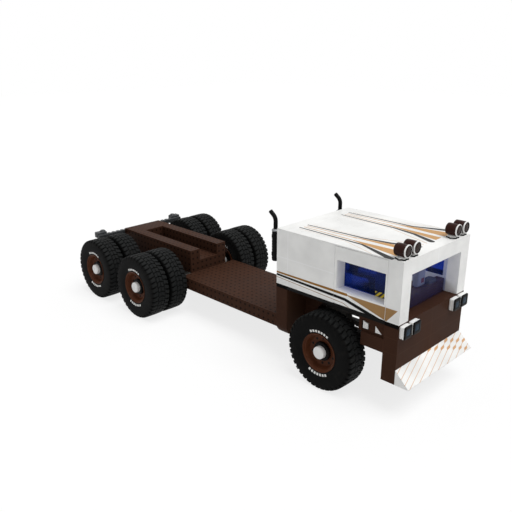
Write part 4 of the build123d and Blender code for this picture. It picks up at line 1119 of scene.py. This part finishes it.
pads = []
for sideName, side in sides.items():
    x0, x1 = side * seat["x"] - seat["half"], side * seat["x"] + seat["half"]
    pads.append(makePad("seatCushion_" + sideName, (x0, seat["y0"], seat["top"] - seat["cushion"]),
                        (x1, seat["y1"], seat["top"]), seat["cushionEdge"], 1))
    foot = (x0, seat["y1"] - seat["back"], seat["top"] + seat["backGap"])
    pads.append(makePad("seatBack_" + sideName, foot, (x1, seat["y1"], seat["backTop"]), seat["backEdge"], 2))
    inset = seat["panInset"]
    low = (x0 + inset, seat["y0"] + inset, seat["floor"])
    high = (x1 - inset, seat["y1"] - inset, seat["top"] - seat["panGap"])
    pan = roundedBox(low, high, seat["panEdge"], 0, axis=2)
    makePiece("seatPan_" + sideName, [pan], ("dashPlastic",), "chassis")
for pad in pads:
    puffPad(pad)
    smooth = pad.modifiers.new("smooth", "SUBSURF")
    smooth.levels = smooth.render_levels = 1
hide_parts("seats")
print("seats: 2")

# floor, light and camera
stage = {"size": 60.0, "floor": (0.75, 0.75, 0.75, 1), "lift": 0.7, "glow": 1.12, "ambient": 0.42,
         "sun": 1.95, "sunAngle": 0.7, "sunTurn": (21.0, 0.0, 8.0), "cabLamp": 12.0, "cabLampSize": 1.2,
         "cabLampPlace": (0.0, grid["rearY"] - 1.1, cab["roof"] - 0.17)}


def addObject(name, data):
    thing = bpy.data.objects.new(name, data)
    bpy.context.scene.collection.objects.link(thing)
    return thing


def seenRays(tree):
    # one for rays that show a surface straight, mirrored or through a pane, and nought for the rest
    rays = tree.nodes.new("ShaderNodeLightPath").outputs
    return strongest([rays["Is " + kind + " Ray"] for kind in ("Camera", "Glossy", "Transmission")])


mesh = bpy.data.meshes.new("studioFloor")
s = stage["size"]
mesh.from_pydata([(-s, -s, 0), (s, -s, 0), (s, s, 0), (-s, s, 0)], [], [(0, 1, 2, 3)])
floor = addObject("studioFloor", mesh)
material, tree, shader = newFinish("paleFloor")
tree.nodes.remove(shader)
diffuse, glow = newNodes(tree, "BsdfDiffuse", "Emission")
diffuse.inputs["Color"].default_value = stage["floor"]
glow.inputs["Strength"].default_value = stage["glow"]
mixShaders(tree, times(seenRays(tree), stage["lift"]), diffuse, glow)
mesh.materials.append(material)

world = bpy.data.worlds.new("studioSky")
bpy.context.scene.world = world
world.use_nodes = True
tree = world.node_tree
ambient = stage["ambient"]
feedAll(tree.nodes["Background"],
        {"Color": (1, 1, 1, 1),
         "Strength": addMaths("MULTIPLY_ADD", seenRays(tree), 1.0 - ambient, ambient)})
lampData = bpy.data.lights.new("cabLamp", "AREA")
lampData.shape, lampData.size, lampData.energy = "SQUARE", stage["cabLampSize"], stage["cabLamp"]
cabLamp = addObject("cabLamp", lampData)
cabLamp.location = stage["cabLampPlace"]
cabLamp.visible_camera = False
lightData = bpy.data.lights.new("softKey", "SUN")
lightData.energy, lightData.angle = stage["sun"], stage["sunAngle"]
addObject("softKey", lightData).rotation_euler = [math.radians(turn) for turn in stage["sunTurn"]]

view = {"place": (-8.421, -8.391, 5.5325), "target": (0.0, 0.02975, 1.4325), "fov": 45.0, "far": 300.0}
cameraData = bpy.data.cameras.new("photoView")
cameraData.sensor_fit, cameraData.angle = "HORIZONTAL", math.radians(view["fov"])
cameraData.clip_end = view["far"]
camera = addObject("photoView", cameraData)
dx, dy, dz = (b - a for a, b in zip(view["place"], view["target"]))
camera.location = view["place"]
camera.rotation_euler = (math.atan2(math.hypot(dx, dy), -dz), 0.0, math.atan2(-dx, dy))
bpy.context.scene.camera = camera
bpy.context.scene.view_settings.view_transform = "Standard"
